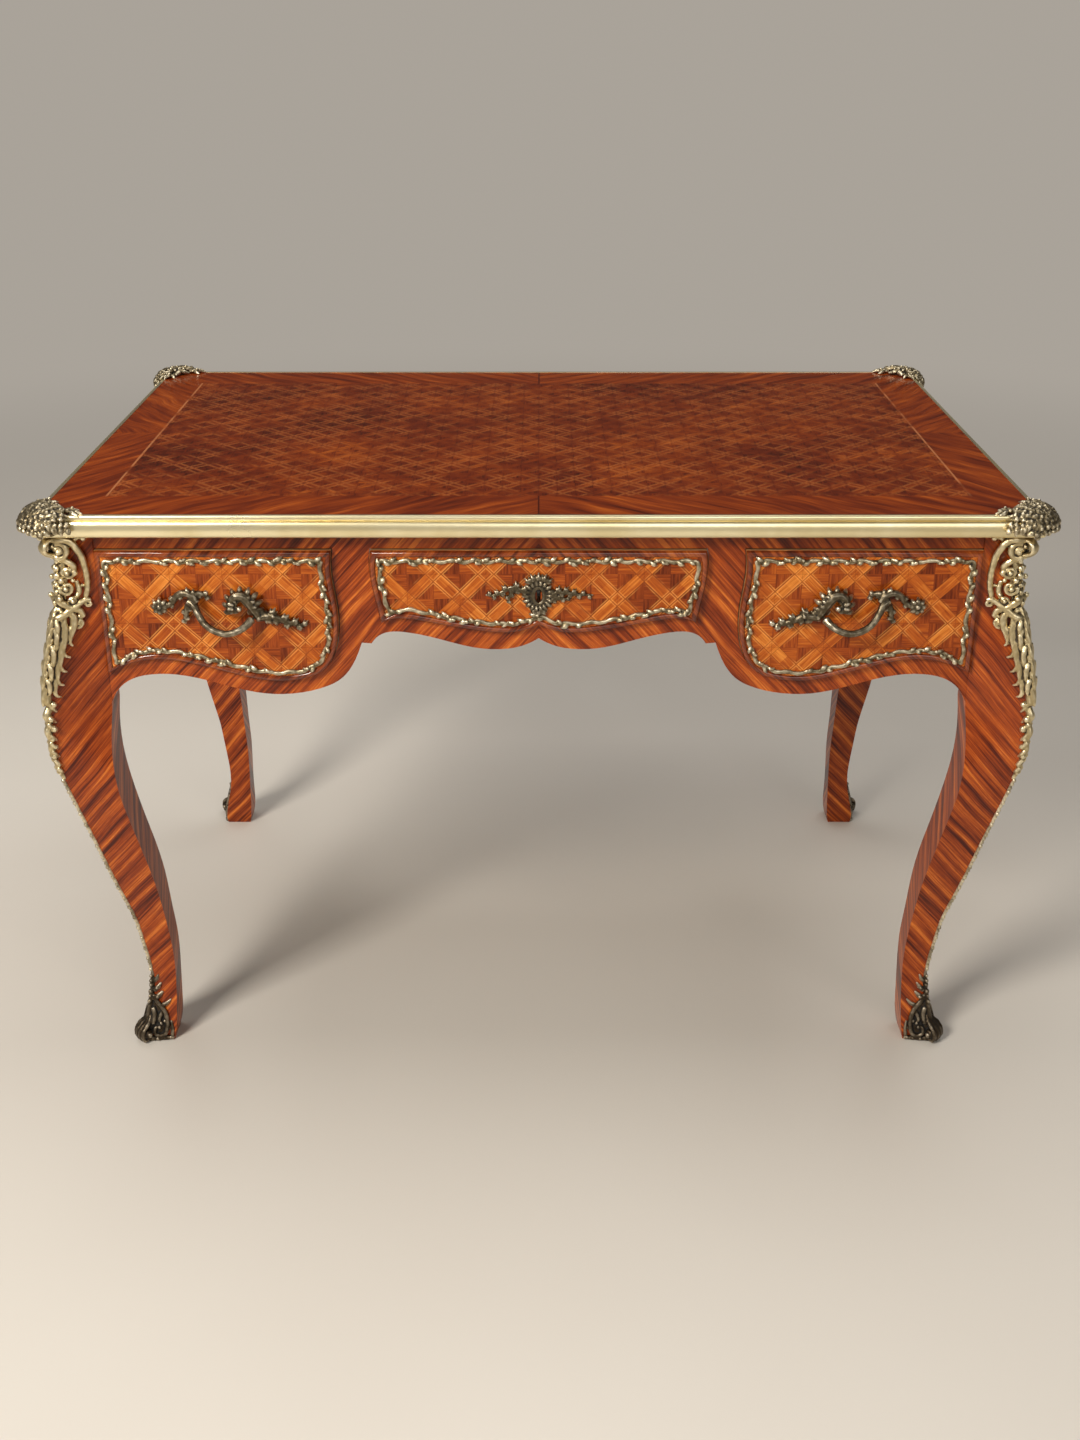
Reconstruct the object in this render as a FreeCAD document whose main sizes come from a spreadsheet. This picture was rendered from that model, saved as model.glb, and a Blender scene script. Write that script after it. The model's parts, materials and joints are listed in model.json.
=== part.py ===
import FreeCAD, Part
import math
import os
import re
import Sketcher

os.makedirs("parts", exist_ok=True)
doc = FreeCAD.newDocument("writing_table")
sheet = doc.addObject("Spreadsheet::Sheet", "spec")

# Sizes in millimetres. X runs along the front, Y to the back, Z up from the floor.
SIZES = [
    ("top_width", 1200), ("top_depth", 780), ("table_height", 778),
    ("core_thick", 25.5), ("veneer_thick", 1.5), ("rim_wide", 8), ("border_end", 66), ("border_front", 78),
    ("field_half_width", "=top_width / 2 - rim_wide - border_end"),
    ("field_half_depth", "=top_depth / 2 - rim_wide - border_front"),
    ("under_level", "=table_height - veneer_thick - core_thick"),
    ("apron_setback", 28), ("apron_thick", 24), ("apron_high", 223), ("post_inset", 37),
    ("top_rail_high", 21), ("reveal", 1), ("front_proud", 8), ("front_thick", 24), ("front_bevel", 3.5),
    ("tenon_long", 14), ("tenon_thick", 12), ("stub_thick", 10), ("stub_wide", 20), ("stub_long", 10),
    ("rail_low_end", "=under_level - apron_high"), ("rail_joint_level", "=under_level - 106"),
    ("drawer_top_level", "=under_level - top_rail_high - reveal"),
    ("side_drawer_outer", "=top_width / 2 - apron_setback - post_inset - reveal"),
    ("centre_drawer_half", "=top_width * 0.1684"), ("divider_wide", 47), ("divider_lap", 14),
    ("side_drawer_inner", "=centre_drawer_half + divider_wide"),
    ("side_span", "=side_drawer_outer - side_drawer_inner"),
    ("side_corner_level", "=drawer_top_level - 159"), ("centre_corner_half", "=centre_drawer_half - 9"),
    ("centre_corner_level", "=drawer_top_level - 92"), ("centre_cusp_level", "=drawer_top_level - 94"),
    ("box_side_thick", 10), ("box_bottom_thick", 8), ("box_long", "=top_depth - 240"), ("box_back_inset", 20),
    ("box_top_level", "=drawer_top_level - 13"),
    ("side_box_outer", "=side_drawer_outer - 12"), ("side_box_inner", "=side_drawer_inner + 19"),
    ("side_box_level", "=box_top_level - 132"), ("side_bottom_lift", 13),
    ("centre_box_half", "=centre_drawer_half - 16"), ("centre_box_level", "=box_top_level - 71"),
    ("centre_bottom_lift", 6), ("groove_deep", 5), ("housing_deep", 8), ("run_gap", 0.3),
    ("runner_wide", 16), ("runner_high", 18), ("guide_wide", 9), ("guide_high", 20), ("guide_gap", 1),
    ("frame_inset", 9), ("frame_wide", 6.5), ("frame_high", 3),
    ("post_radius", 3), ("post_hole_radius", 3.3), ("nut_radius", 8), ("nut_thick", 5),
    ("handle_shell_post", "=side_drawer_inner + 100"), ("handle_arch_post", "=handle_shell_post + 71"),
    ("handle_stand", 24), ("shell_post_drop", 74), ("arch_post_drop", 59),
    ("lock_half_wide", 28), ("lock_deep", 12), ("lock_sunk", 2),
    ("lock_top_level", "=drawer_top_level - 2"), ("lock_low_level", "=lock_top_level - 66"),
    ("bolt_half_wide", 9), ("bolt_thick", 4), ("bolt_back", 2.5), ("bolt_gap", 0.4), ("bolt_throw", 8),
    ("bolt_low_level", "=lock_top_level - 27"), ("bolt_proud", 1), ("mortise_gap", 1),
    ("keyhole_level", "=drawer_top_level - 50"), ("keyhole_radius", 3.4), ("keyhole_slot", 4.6),
    ("keyhole_drop", 15), ("escutcheon_half_wide", 19), ("escutcheon_half_high", 20),
    ("escutcheon_thick", 4), ("escutcheon_drop", 6),
    ("mount_rise", 9), ("mount_reach", 72), ("mount_past", 13), ("mount_dome", 150), ("flute_radius", 5),
    ("chute_thick", 6), ("chute_bury", 4), ("volute_radius", 14), ("volute_wide", 24), ("volute_drop", 18),
    ("strip_wide", 5), ("strip_thick", 3), ("strip_bury", 3), ("strip_gap", 1),
    ("sabot_wall", 4), ("sabot_high", 104), ("toe_radius", 13), ("toe_wide", 34), ("toe_out", 8),
    ("block_long", 44), ("block_size", 18),
]

# Leg sections from the top down: level, arris beyond the apron face, inner corner behind it,
# and the share of the arris swell that the meeting edge with the apron takes.
LEG = [
    ("cap", "under_level", 3, 40, 0), ("neck", "under_level - 61", 7, 40, 0),
    ("brow", "under_level - 121", 18, 40, 0), ("shoulder", "under_level - 181", 30, 40, 0),
    ("haunch", "rail_low_end - 6", 35, 37, 0.06), ("knee", "rail_low_end * 0.9", 35, 34, 0.4),
    ("garter", "rail_low_end * 0.815", 28, 36, 0.8), ("calf", "rail_low_end * 0.712", 16, 43, 1),
    ("mid", "rail_low_end * 0.62", 5, 51, 1), ("shin", "rail_low_end * 0.54", -4, 58, 1),
    ("lower_shin", "rail_low_end * 0.435", -17, 64, 1), ("thin", "rail_low_end * 0.284", -31, 69, 1),
    ("ankle", "rail_low_end * 0.208", -35, 69, 1), ("heel", "rail_low_end * 0.104", -30, 67, 1),
    ("sole", "0", -23, 61, 1),
]
for level_name, level, swell, inner, share in LEG:
    SIZES.append((level_name + "_level", "=" + level))
    SIZES.append((level_name + "_swell", swell))
    SIZES.append((level_name + "_inner", inner))

for row, (alias, value) in enumerate(SIZES, 1):
    sheet.set("A%d" % row, alias)
    sheet.set("B%d" % row, str(value))
    sheet.setAlias("B%d" % row, alias)
doc.recompute()
ALIASES = {alias for alias, value in SIZES}


def bind(text):
    """Point every alias in an expression at the sheet."""
    def named(word):
        return "spec." + word.group() if word.group() in ALIASES else word.group()

    return re.sub(r"[a-z][a-z_]*", named, str(text))


def value(text):
    """Work an expression out with the sheet's numbers."""
    number = sheet.evalExpression(bind(text))
    return float(getattr(number, "Value", number))


NODES = []


def node(piece, label):
    piece.Label = label
    NODES.append(piece)
    return piece


def box(name, x, y, z):
    piece = doc.addObject("Part::Box", name)
    for axis, length, (low, high) in (("x", "Length", x), ("y", "Width", y), ("z", "Height", z)):
        piece.setExpression(length, bind("(%s) - (%s)" % (high, low)))
        piece.setExpression("Placement.Base." + axis, bind(low))
    return piece


def cylinder(name, radius, length, x, y, z):
    """A round bar that starts at the given point and runs towards the back."""
    piece = doc.addObject("Part::Cylinder", name)
    piece.setExpression("Radius", bind(radius))
    piece.setExpression("Height", bind(length))
    piece.Placement.Rotation = FreeCAD.Rotation(FreeCAD.Vector(1, 0, 0), -90)
    for axis, place in (("x", x), ("y", y), ("z", z)):
        piece.setExpression("Placement.Base." + axis, bind(place))
    return piece


def fuse(name, pieces):
    joined = doc.addObject("Part::MultiFuse", name)
    joined.Shapes = pieces
    return joined


def cut(name, base, tools):
    left = doc.addObject("Part::Cut", name)
    left.Base = base
    left.Tool = tools[0] if len(tools) == 1 else fuse(name + "_tools", tools)
    return left


def group(name, pieces):
    together = doc.addObject("Part::Compound", name)
    together.Links = pieces
    return together


def mirror(name, source, normal):
    other = doc.addObject("Part::Mirroring", name)
    other.Source = source
    other.Normal = normal
    return other


ACROSS = FreeCAD.Vector(1, 0, 0)
FRONT_BACK = FreeCAD.Vector(0, 1, 0)


def draw(sketch, loop):
    """Draw a closed loop: two points make a line, more make a curve led by its poles."""
    starts = []
    for points in loop:
        spots = [FreeCAD.Vector(value(x), value(y), 0) for x, y in points]
        if len(points) == 2:
            edge = sketch.addGeometry(Part.LineSegment(spots[0], spots[1]))
            poles = []
        else:
            curve = Part.BSplineCurve()
            spans = len(spots) - 3
            curve.buildFromPolesMultsKnots(spots, [4] + [1] * (spans - 1) + [4],
                                           [float(k) for k in range(spans + 1)], False, 3)
            edge = sketch.addGeometry(curve)
            first_pole = len(sketch.Geometry)
            sketch.exposeInternalGeometry(edge)
            poles = [(first_pole + k, points[k]) for k in range(1, len(points) - 1)]
        starts.append((edge, points[0], poles))
    for place, (edge, first, poles) in enumerate(starts):
        following = starts[(place + 1) % len(starts)][0]
        sketch.addConstraint(Sketcher.Constraint("Coincident", edge, 2, following, 1))
        for at, point, spot in [(edge, 1, first)] + [(pole, 3, spot) for pole, spot in poles]:
            for kind, text in (("DistanceX", spot[0]), ("DistanceY", spot[1])):
                mark = sketch.addConstraint(Sketcher.Constraint(kind, at, point, value(text)))
                sketch.setExpression("Constraints[%d]" % mark, bind(text))


def sketch_in(body, name, plane, at, loops):
    sketch = body.newObject("Sketcher::SketchObject", name)
    base = [part for part in body.Origin.OriginFeatures if part.Role == plane][0]
    sketch.AttachmentSupport = [(base, "")]
    sketch.MapMode = "FlatFace"
    sketch.setExpression("AttachmentOffset.Base.z", bind(at))
    for loop in loops:
        draw(sketch, loop)
    return sketch


def pad(name, plane, at, depth, loops):
    body = doc.addObject("PartDesign::Body", name)
    raised = body.newObject("PartDesign::Pad", name + "_pad")
    raised.Profile = sketch_in(body, name + "_outline", plane, at, loops)
    raised.setExpression("Length", bind(depth))
    body.Tip = raised
    doc.recompute()
    return body


FACE_X = "(top_width / 2 - apron_setback)"
FACE_Y = "(top_depth / 2 - apron_setback)"
POST_X = "(top_width / 2 - apron_setback - post_inset)"
POST_Y = "(top_depth / 2 - apron_setback - post_inset)"
UNDER = "under_level"
EDGE_X = "(top_width / 2 - rim_wide)"
EDGE_Y = "(top_depth / 2 - rim_wide)"
FRONT_FACE = "(-(top_depth / 2 - apron_setback) - front_proud)"
FRONT_REAR = "(-(top_depth / 2 - apron_setback) - front_proud + front_thick)"


def minus(text):
    return "-(%s)" % text


# Top: core, mitred border, field and the brass edge
top_panel = node(box("panel", (minus(EDGE_X), EDGE_X), (minus(EDGE_Y), EDGE_Y),
                     (UNDER, "table_height - veneer_thick")), "top_panel")
VENEER = ("table_height - veneer_thick", "table_height")
field = node(box("field", ("-field_half_width", "field_half_width"),
                 ("-field_half_depth", "field_half_depth"), VENEER), "top_field_parquetry")


def four_sided(corners):
    return [[corners[k], corners[(k + 1) % 4]] for k in range(4)]


outer = [(minus(EDGE_X), minus(EDGE_Y)), (EDGE_X, minus(EDGE_Y)), (EDGE_X, EDGE_Y), (minus(EDGE_X), EDGE_Y)]
inner = [("-field_half_width", "-field_half_depth"), ("field_half_width", "-field_half_depth"),
         ("field_half_width", "field_half_depth"), ("-field_half_width", "field_half_depth")]
bands = []
for side, name in enumerate(("front", "right", "back", "left")):
    after = (side + 1) % 4
    bands.append(pad("band_" + name, "XY_Plane", "table_height - veneer_thick", "veneer_thick",
                     [four_sided([outer[side], outer[after], inner[after], inner[side]])]))
node(group("bands", bands), "top_border_banding")

# Brass edge: a lip, a small bead and a large round, swept round the core with mitred corners
edge_body = doc.addObject("PartDesign::Body", "edge")
edge_path = sketch_in(edge_body, "edge_path", "XY_Plane", UNDER, [four_sided(outer)])
TALL = "(core_thick + veneer_thick)"


def edge_point(out, up):
    return ("(top_width / 2 - rim_wide) + rim_wide * %g" % out, "%s + %s * %g" % (UNDER, TALL, up))


edge_loop = [
    [edge_point(0, 0), edge_point(0, 1.02)], [edge_point(0, 1.02), edge_point(0.55, 1.02)],
    [edge_point(0.55, 1.02), edge_point(0.72, 1.0), edge_point(0.85, 0.9), edge_point(0.6, 0.76)],
    [edge_point(0.6, 0.76), edge_point(0.42, 0.72)],
    [edge_point(0.42, 0.72), edge_point(0.8, 0.68), edge_point(0.8, 0.58), edge_point(0.42, 0.55)],
    [edge_point(0.42, 0.55), edge_point(1.2, 0.52), edge_point(1.24, 0.06), edge_point(0.5, 0)],
    [edge_point(0.5, 0), edge_point(0, 0)],
]
edge_profile = sketch_in(edge_body, "edge_profile", "XZ_Plane", "0", [edge_loop])
edge_sweep = edge_body.newObject("PartDesign::AdditivePipe", "edge_sweep")
edge_sweep.Profile = edge_profile
edge_sweep.Spine = (edge_path, ["Edge1", "Edge2", "Edge3", "Edge4"])
edge_sweep.Transition = "Right corner"
edge_body.Tip = edge_sweep
node(edge_body, "top_edge_moulding")
doc.recompute()

# Legs: one lofted through level sections at the back right, the others mirrored from it
leg_body = doc.addObject("PartDesign::Body", "leg_wood")
sections = []
for level_name, level, swell, inner_corner, share in LEG:
    arris_x = "%s + %s_swell" % (FACE_X, level_name)
    arris_y = "%s + %s_swell" % (FACE_Y, level_name)
    inner_x = "%s - %s_inner" % (FACE_X, level_name)
    inner_y = "%s - %s_inner" % (FACE_Y, level_name)
    near_x = "%s + %s_swell * %g" % (FACE_X, level_name, share)
    near_y = "%s + %s_swell * %g" % (FACE_Y, level_name, share)
    corners = [(arris_x, arris_y), (inner_x, near_y), (inner_x, inner_y), (near_x, inner_y)]
    sections.append(sketch_in(leg_body, level_name + "_section", "XY_Plane", level_name + "_level",
                              [four_sided(corners)]))
loft = leg_body.newObject("PartDesign::AdditiveLoft", "leg_loft")
loft.Profile = sections[0]
loft.Sections = sections[1:]
leg_body.Tip = loft
doc.recompute()

# Each tenon's lower and upper edge, and the middle of the board it stands on
RAIL_TENONS = [(UNDER + " - 17", UNDER + " - 4"), ("rail_low_end + 8", "rail_low_end + 34")]
SIDE_TENONS = [("rail_low_end + 17", "rail_low_end + 52"), (UNDER + " - 61", UNDER + " - 16")]
RAIL_MIDDLE = FACE_Y + " - apron_thick / 2"
SIDE_MIDDLE = FACE_X + " - apron_thick / 2"
RAIL_TENON_Y = (RAIL_MIDDLE + " - tenon_thick / 2", RAIL_MIDDLE + " + tenon_thick / 2")
SIDE_TENON_X = (SIDE_MIDDLE + " - tenon_thick / 2", SIDE_MIDDLE + " + tenon_thick / 2")


def rail_tenon(name, which, back=True, right=True):
    x = (POST_X, POST_X + " + tenon_long")
    y = RAIL_TENON_Y
    if not right:
        x = (minus(x[1]), minus(x[0]))
    if not back:
        y = (minus(y[1]), minus(y[0]))
    return box(name, x, y, RAIL_TENONS[which])


def side_tenon(name, which, back=True):
    y = (POST_Y, POST_Y + " + tenon_long")
    if not back:
        y = (minus(y[1]), minus(y[0]))
    return box(name, SIDE_TENON_X, y, SIDE_TENONS[which])


leg_trims = [
    box("post_trim_x", ("0", POST_X), ("0", "top_depth"), ("haunch_level", "table_height")),
    box("post_trim_y", ("0", "top_width"), ("0", POST_Y), ("haunch_level", "table_height")),
    rail_tenon("mortise_rail_high", 0), rail_tenon("mortise_rail_low", 1),
    side_tenon("mortise_side_low", 0), side_tenon("mortise_side_high", 1),
]
leg = node(cut("leg_back_right", leg_body, leg_trims), "leg_back_right")
doc.recompute()


def corners_from(piece, name):
    """Mirror a back right piece to the other three corners."""
    node(mirror(name + "_bl", piece, ACROSS), name + "_back_left")
    front = node(mirror(name + "_fr", piece, FRONT_BACK), name + "_front_right")
    node(mirror(name + "_fl", front, ACROSS), name + "_front_left")


corners_from(leg, "leg")


# Outlines of the drawers, drawn larger or smaller by a grow term along each point's own normal
def grown(points, grow):
    moved = "(%s) + (%g) * (%s)"
    return [(moved % (x, nx, grow), moved % (z, nz, grow)) for x, z, nx, nz in points]


def side_outline(grow, past=""):
    """Outline of the right drawer; past runs the outer end on beyond the drawer."""
    inner_x = "side_drawer_inner"
    run = grown([
        (inner_x, "drawer_top_level", -1, 1), (inner_x + " + 5", "drawer_top_level - 29", -1, 0.1),
        (inner_x + " - 9", "drawer_top_level - 74", -1, 0),
        (inner_x + " + 1", "side_corner_level + 8", -0.85, -0.5),
        (inner_x + " + side_span * 0.151", "side_corner_level - 10", -0.4, -0.95),
        (inner_x + " + side_span * 0.337", "side_corner_level - 12", 0.15, -1),
        ("side_drawer_outer - side_span * 0.4", "side_corner_level + 14", 0.25, -1),
        ("side_drawer_outer - side_span * 0.154", "side_corner_level + 26", 0, -1),
        ("side_drawer_outer", "side_corner_level", 1, -1.1),
    ], grow)
    top = grown([("side_drawer_outer", "drawer_top_level", 1, 1)], grow)[0]
    if not past:
        return [run, [run[-1], top], [top, run[0]]]
    low_far = ("%s + %s" % (run[-1][0], past), run[-1][1])
    top_far = ("%s + %s" % (top[0], past), top[1])
    return [run, [run[-1], low_far], [low_far, top_far], [top_far, run[0]]]


def centre_outline(grow):
    half = "centre_drawer_half"
    corner = "centre_corner_half"
    side = [(half, "drawer_top_level", 1, 1), (half + " + 7", "drawer_top_level - 29", 1, 0),
            (half + " - 6", "drawer_top_level - 69", 1, 0), (corner, "centre_corner_level", 1, -1)]
    floor = [(corner, "centre_corner_level", 1, -1), (corner + " * 0.938", "centre_corner_level + 7", 1, -1),
             (corner + " * 0.803", "centre_corner_level + 6", 0.1, -1),
             (corner + " * 0.518", "centre_corner_level - 6", -0.15, -1),
             (corner + " * 0.259", "centre_corner_level - 14", -0.1, -1),
             (corner + " * 0.104", "centre_corner_level - 13", 0.3, -1), ("0", "centre_cusp_level", 0, -1)]
    right_side = grown(side, grow)
    right_floor = grown(floor, grow)
    left_side = [(minus(x), z) for x, z in right_side][::-1]
    left_floor = [(minus(x), z) for x, z in right_floor][::-1]
    return [right_side, right_floor, left_floor, left_side, [left_side[-1], right_side[0]]]


# Lower edge of front and back: a lobe under each side drawer and a double lobe with a cusp in the middle
LOBE = [("side_drawer_outer + reveal", "rail_low_end"),
        ("side_drawer_outer - side_span * 0.035", "rail_low_end + 28"),
        ("side_drawer_outer - side_span * 0.182", "rail_low_end + 42"),
        ("side_drawer_outer - side_span * 0.382", "rail_low_end + 35"),
        ("side_drawer_inner + side_span * 0.389", "rail_low_end + 12"),
        ("side_drawer_inner + side_span * 0.221", "rail_low_end + 9"),
        ("side_drawer_inner + side_span * 0.046", "rail_low_end + 19"),
        ("side_drawer_inner - 17", "rail_low_end + 38"), ("side_drawer_inner - 31", "rail_low_end + 80")]
STEP = ("side_drawer_inner - 43", "rail_low_end + 79")
MIDDLE = [STEP, ("centre_corner_half + 3", "rail_low_end + 96"),
          ("centre_corner_half * 0.845", "rail_low_end + 96"),
          ("centre_corner_half * 0.596", "rail_low_end + 83"),
          ("centre_corner_half * 0.415", "rail_low_end + 72"),
          ("centre_corner_half * 0.207", "rail_low_end + 70"),
          ("centre_corner_half * 0.078", "rail_low_end + 76"), ("0", "rail_low_end + 86")]


def flipped(points):
    return [(minus(x), z) for x, z in points][::-1]


def rail_outline(top_level):
    end = LOBE[0]
    high = (end[0], top_level)
    return [[high, end], LOBE, [LOBE[-1], STEP], MIDDLE, flipped(MIDDLE), flipped([LOBE[-1], STEP]),
            flipped(LOBE), flipped([high, end]), [(minus(high[0]), top_level), high]]


THROUGH = "apron_thick * 3"
THROUGH_FROM = FACE_Y + " - apron_thick * 2"
opening_right = pad("opening_right", "XZ_Plane", THROUGH_FROM, THROUGH,
                    [side_outline("reveal", "post_inset / 2")])
opening_left = mirror("opening_left", opening_right, ACROSS)
opening_centre = pad("opening_centre", "XZ_Plane", THROUGH_FROM, THROUGH, [centre_outline("reveal")])
openings = [opening_right, opening_left, opening_centre]
APRON_FRONT = (minus(FACE_Y), minus(FACE_Y) + " + apron_thick")
STUB_MIDDLE = minus(RAIL_MIDDLE)
STUB_Y = (STUB_MIDDLE + " - stub_thick / 2", STUB_MIDDLE + " + stub_thick / 2")
DIVIDER_MIDDLE = "(centre_drawer_half + divider_wide / 2)"
TOP_RAIL_LOW = UNDER + " - top_rail_high"

# Front rails and dividers, tenoned together
stubs = {}
for name, sign in (("right", 1), ("left", -1)):
    x = (DIVIDER_MIDDLE + " - stub_wide / 2", DIVIDER_MIDDLE + " + stub_wide / 2")
    if sign < 0:
        x = (minus(x[1]), minus(x[0]))
    stubs[name] = [box("stub_top_" + name, x, STUB_Y, (TOP_RAIL_LOW, TOP_RAIL_LOW + " + stub_long")),
                   box("stub_low_" + name, x, STUB_Y, ("rail_joint_level - stub_long", "rail_joint_level"))]

BOLT_FACE = FRONT_REAR + " + bolt_back"
bolt_mortise = box("bolt_mortise", ("-bolt_half_wide - mortise_gap", "bolt_half_wide + mortise_gap"),
                   (BOLT_FACE + " - mortise_gap", BOLT_FACE + " + bolt_thick + mortise_gap"),
                   (TOP_RAIL_LOW + " - mortise_gap", TOP_RAIL_LOW + " + bolt_throw + 3 * mortise_gap"))
top_rail_bar = fuse("top_rail_bar", [
    box("top_rail_blank", (minus(POST_X), POST_X), APRON_FRONT, (TOP_RAIL_LOW, UNDER)),
    rail_tenon("top_rail_tenon_r", 0, False, True), rail_tenon("top_rail_tenon_l", 0, False, False)])
node(cut("top_rail", top_rail_bar, [stubs["right"][0], stubs["left"][0], bolt_mortise]), "front_top_rail")

low_rail_blank = pad("low_rail_blank", "XZ_Plane", FACE_Y + " - apron_thick", "apron_thick",
                     [rail_outline("rail_joint_level")])
low_rail_cut = cut("low_rail_cut", low_rail_blank, openings + [stubs["right"][1], stubs["left"][1]])
node(fuse("low_rail", [low_rail_cut, rail_tenon("low_rail_tenon_r", 1, False, True),
                       rail_tenon("low_rail_tenon_l", 1, False, False)]), "front_bottom_rail")

for name, sign in (("right", 1), ("left", -1)):
    x = ("centre_drawer_half - divider_lap", "side_drawer_inner + divider_lap")
    if sign < 0:
        x = (minus(x[1]), minus(x[0]))
    blank = box("divider_blank_" + name, x, APRON_FRONT, ("rail_joint_level", TOP_RAIL_LOW))
    shaped = cut("divider_cut_" + name, blank, [opening_right if sign > 0 else opening_left, opening_centre])
    node(fuse("divider_" + name, [shaped] + stubs[name]), "drawer_divider_" + name)
doc.recompute()


# Brass frames: a flat ring along an outline, with a narrower raised middle
def frame_ring(name, plane, at, outline, away):
    """Two flat rings, the narrower on the wider; away is the side of the plane they stand on."""
    rings = []
    for step, edge_in in enumerate(("0", "frame_wide * 0.22")):
        near = "-(frame_inset + %s)" % edge_in
        far = "-(frame_inset + frame_wide - %s)" % edge_in
        lift = "frame_high * %g" % (0.5 * step if away > 0 else -0.5 * (step + 1))
        rings.append(pad("%s_ring_%d" % (name, step), plane, "%s + %s" % (at, lift), "frame_high / 2",
                         [outline(near), outline(far)]))
    return group(name, rings)


# Back apron in one board with three dummy drawer fronts
back_board = pad("back_board", "XZ_Plane", minus(FACE_Y), "apron_thick", [rail_outline(UNDER)])
back_tenons = [rail_tenon("back_tenon_%d%d" % (which, right), which, True, bool(right))
               for which in (0, 1) for right in (0, 1)]
node(fuse("back_apron", [back_board] + back_tenons), "back_apron")
dummy_at = minus(FACE_Y) + " - front_proud"
dummy_right = node(pad("dummy_right", "XZ_Plane", dummy_at, "front_proud", [side_outline("0")]),
                   "back_dummy_front_right")
node(mirror("dummy_left", dummy_right, ACROSS), "back_dummy_front_left")
node(pad("dummy_centre", "XZ_Plane", dummy_at, "front_proud", [centre_outline("0")]),
     "back_dummy_front_centre")
back_frame_right = frame_ring("back_frame_right", "XZ_Plane", dummy_at, side_outline, -1)
back_frame_left = mirror("back_frame_left", back_frame_right, ACROSS)
back_frame_centre = frame_ring("back_frame_centre", "XZ_Plane", dummy_at, centre_outline, -1)
node(group("back_frames", [back_frame_right, back_frame_centre, back_frame_left]), "back_panel_frames")

# Side aprons with a long low lobe, and the frame of their panel
SIDE_EDGE = [(POST_Y, "rail_low_end"), (POST_Y + " - 10", "rail_low_end + 28"),
             (POST_Y + " - 50", "rail_low_end + 42"), (POST_Y + " * 0.656", "rail_low_end + 35"),
             (POST_Y + " * 0.415", "rail_low_end + 15"), (POST_Y + " * 0.215", "rail_low_end + 8"),
             ("0", "rail_low_end + 8")]
side_high = (POST_Y, UNDER)
side_loop = [[side_high, SIDE_EDGE[0]], SIDE_EDGE, flipped(SIDE_EDGE), flipped([side_high, SIDE_EDGE[0]]),
             [(minus(POST_Y), UNDER), side_high]]
side_board = pad("side_board", "YZ_Plane", FACE_X + " - apron_thick", "apron_thick", [side_loop])
side_tenons = [side_tenon("side_tenon_%d%d" % (which, back), which, bool(back))
               for which in (0, 1) for back in (0, 1)]
side_apron = node(fuse("side_apron", [side_board] + side_tenons), "side_apron_right")
node(mirror("side_apron_l", side_apron, ACROSS), "side_apron_left")


def side_panel(grow):
    """Outline of the framed panel on a side apron, set in from the posts and following the lower edge."""
    run = grown([(POST_Y + " - 6", "rail_low_end + 44", 1, -1),
                 (POST_Y + " - 46", "rail_low_end + 66", 0, -1),
                 (POST_Y + " * 0.656", "rail_low_end + 57", -0.2, -1),
                 (POST_Y + " * 0.415", "rail_low_end + 37", -0.1, -1),
                 (POST_Y + " * 0.215", "rail_low_end + 30", 0, -1), ("0", "rail_low_end + 30", 0, -1)], grow)
    top = grown([(POST_Y + " - 6", UNDER + " - 22", 1, 1)], grow)[0]
    return [[top, run[0]], run, flipped(run), [(minus(run[0][0]), run[0][1]), (minus(top[0]), top[1])],
            [(minus(top[0]), top[1]), top]]


side_frame_right = frame_ring("side_frame_r", "YZ_Plane", FACE_X, side_panel, 1)
side_frame_left = mirror("side_frame_l", side_frame_right, ACROSS)
node(group("side_frames", [side_frame_right, side_frame_left]), "side_panel_frames")
doc.recompute()


# Runners with an upstand that guides the drawer side
def runner(name, near, far, guide_near, guide_far, level):
    length = (minus(FACE_Y) + " + apron_thick", FACE_Y + " - apron_thick")
    top = level + " - run_gap"
    bar = box(name + "_bar", (near, far), length, (top + " - runner_high", top))
    guide = box(name + "_guide", (guide_near, guide_far), length, (top, top + " + guide_high"))
    return fuse(name, [bar, guide])


INNER_GUIDE = ("side_box_inner - guide_gap - guide_wide", "side_box_inner - guide_gap")
CENTRE_GUIDE = ("centre_box_half + guide_gap", "centre_box_half + guide_gap + guide_wide")
outer_runner = runner("outer_runner", "side_box_outer - runner_wide", POST_X,
                      "side_box_outer + guide_gap", POST_X, "side_box_level")
inner_runner = runner("inner_runner", INNER_GUIDE[0], "side_box_inner + runner_wide",
                      INNER_GUIDE[0], INNER_GUIDE[1], "side_box_level")
right_runners = node(group("right_runners", [outer_runner, inner_runner]), "right_drawer_runners")
node(mirror("left_runners", right_runners, ACROSS), "left_drawer_runners")
centre_runner = runner("centre_runner", "centre_box_half - runner_wide", CENTRE_GUIDE[1],
                       CENTRE_GUIDE[0], CENTRE_GUIDE[1], "centre_box_level")
centre_runner_left = mirror("centre_runner_l", centre_runner, ACROSS)
node(group("centre_runners", [centre_runner, centre_runner_left]), "centre_drawer_runners")

# Glue blocks between aprons and top
BLOCK_Z = (UNDER + " - block_size", UNDER)
BLOCK_BACK = (FACE_Y + " - apron_thick - block_size", FACE_Y + " - apron_thick")
BLOCK_RIGHT = (FACE_X + " - apron_thick - block_size", FACE_X + " - apron_thick")


def opposite(limits):
    return (minus(limits[1]), minus(limits[0]))


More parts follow.
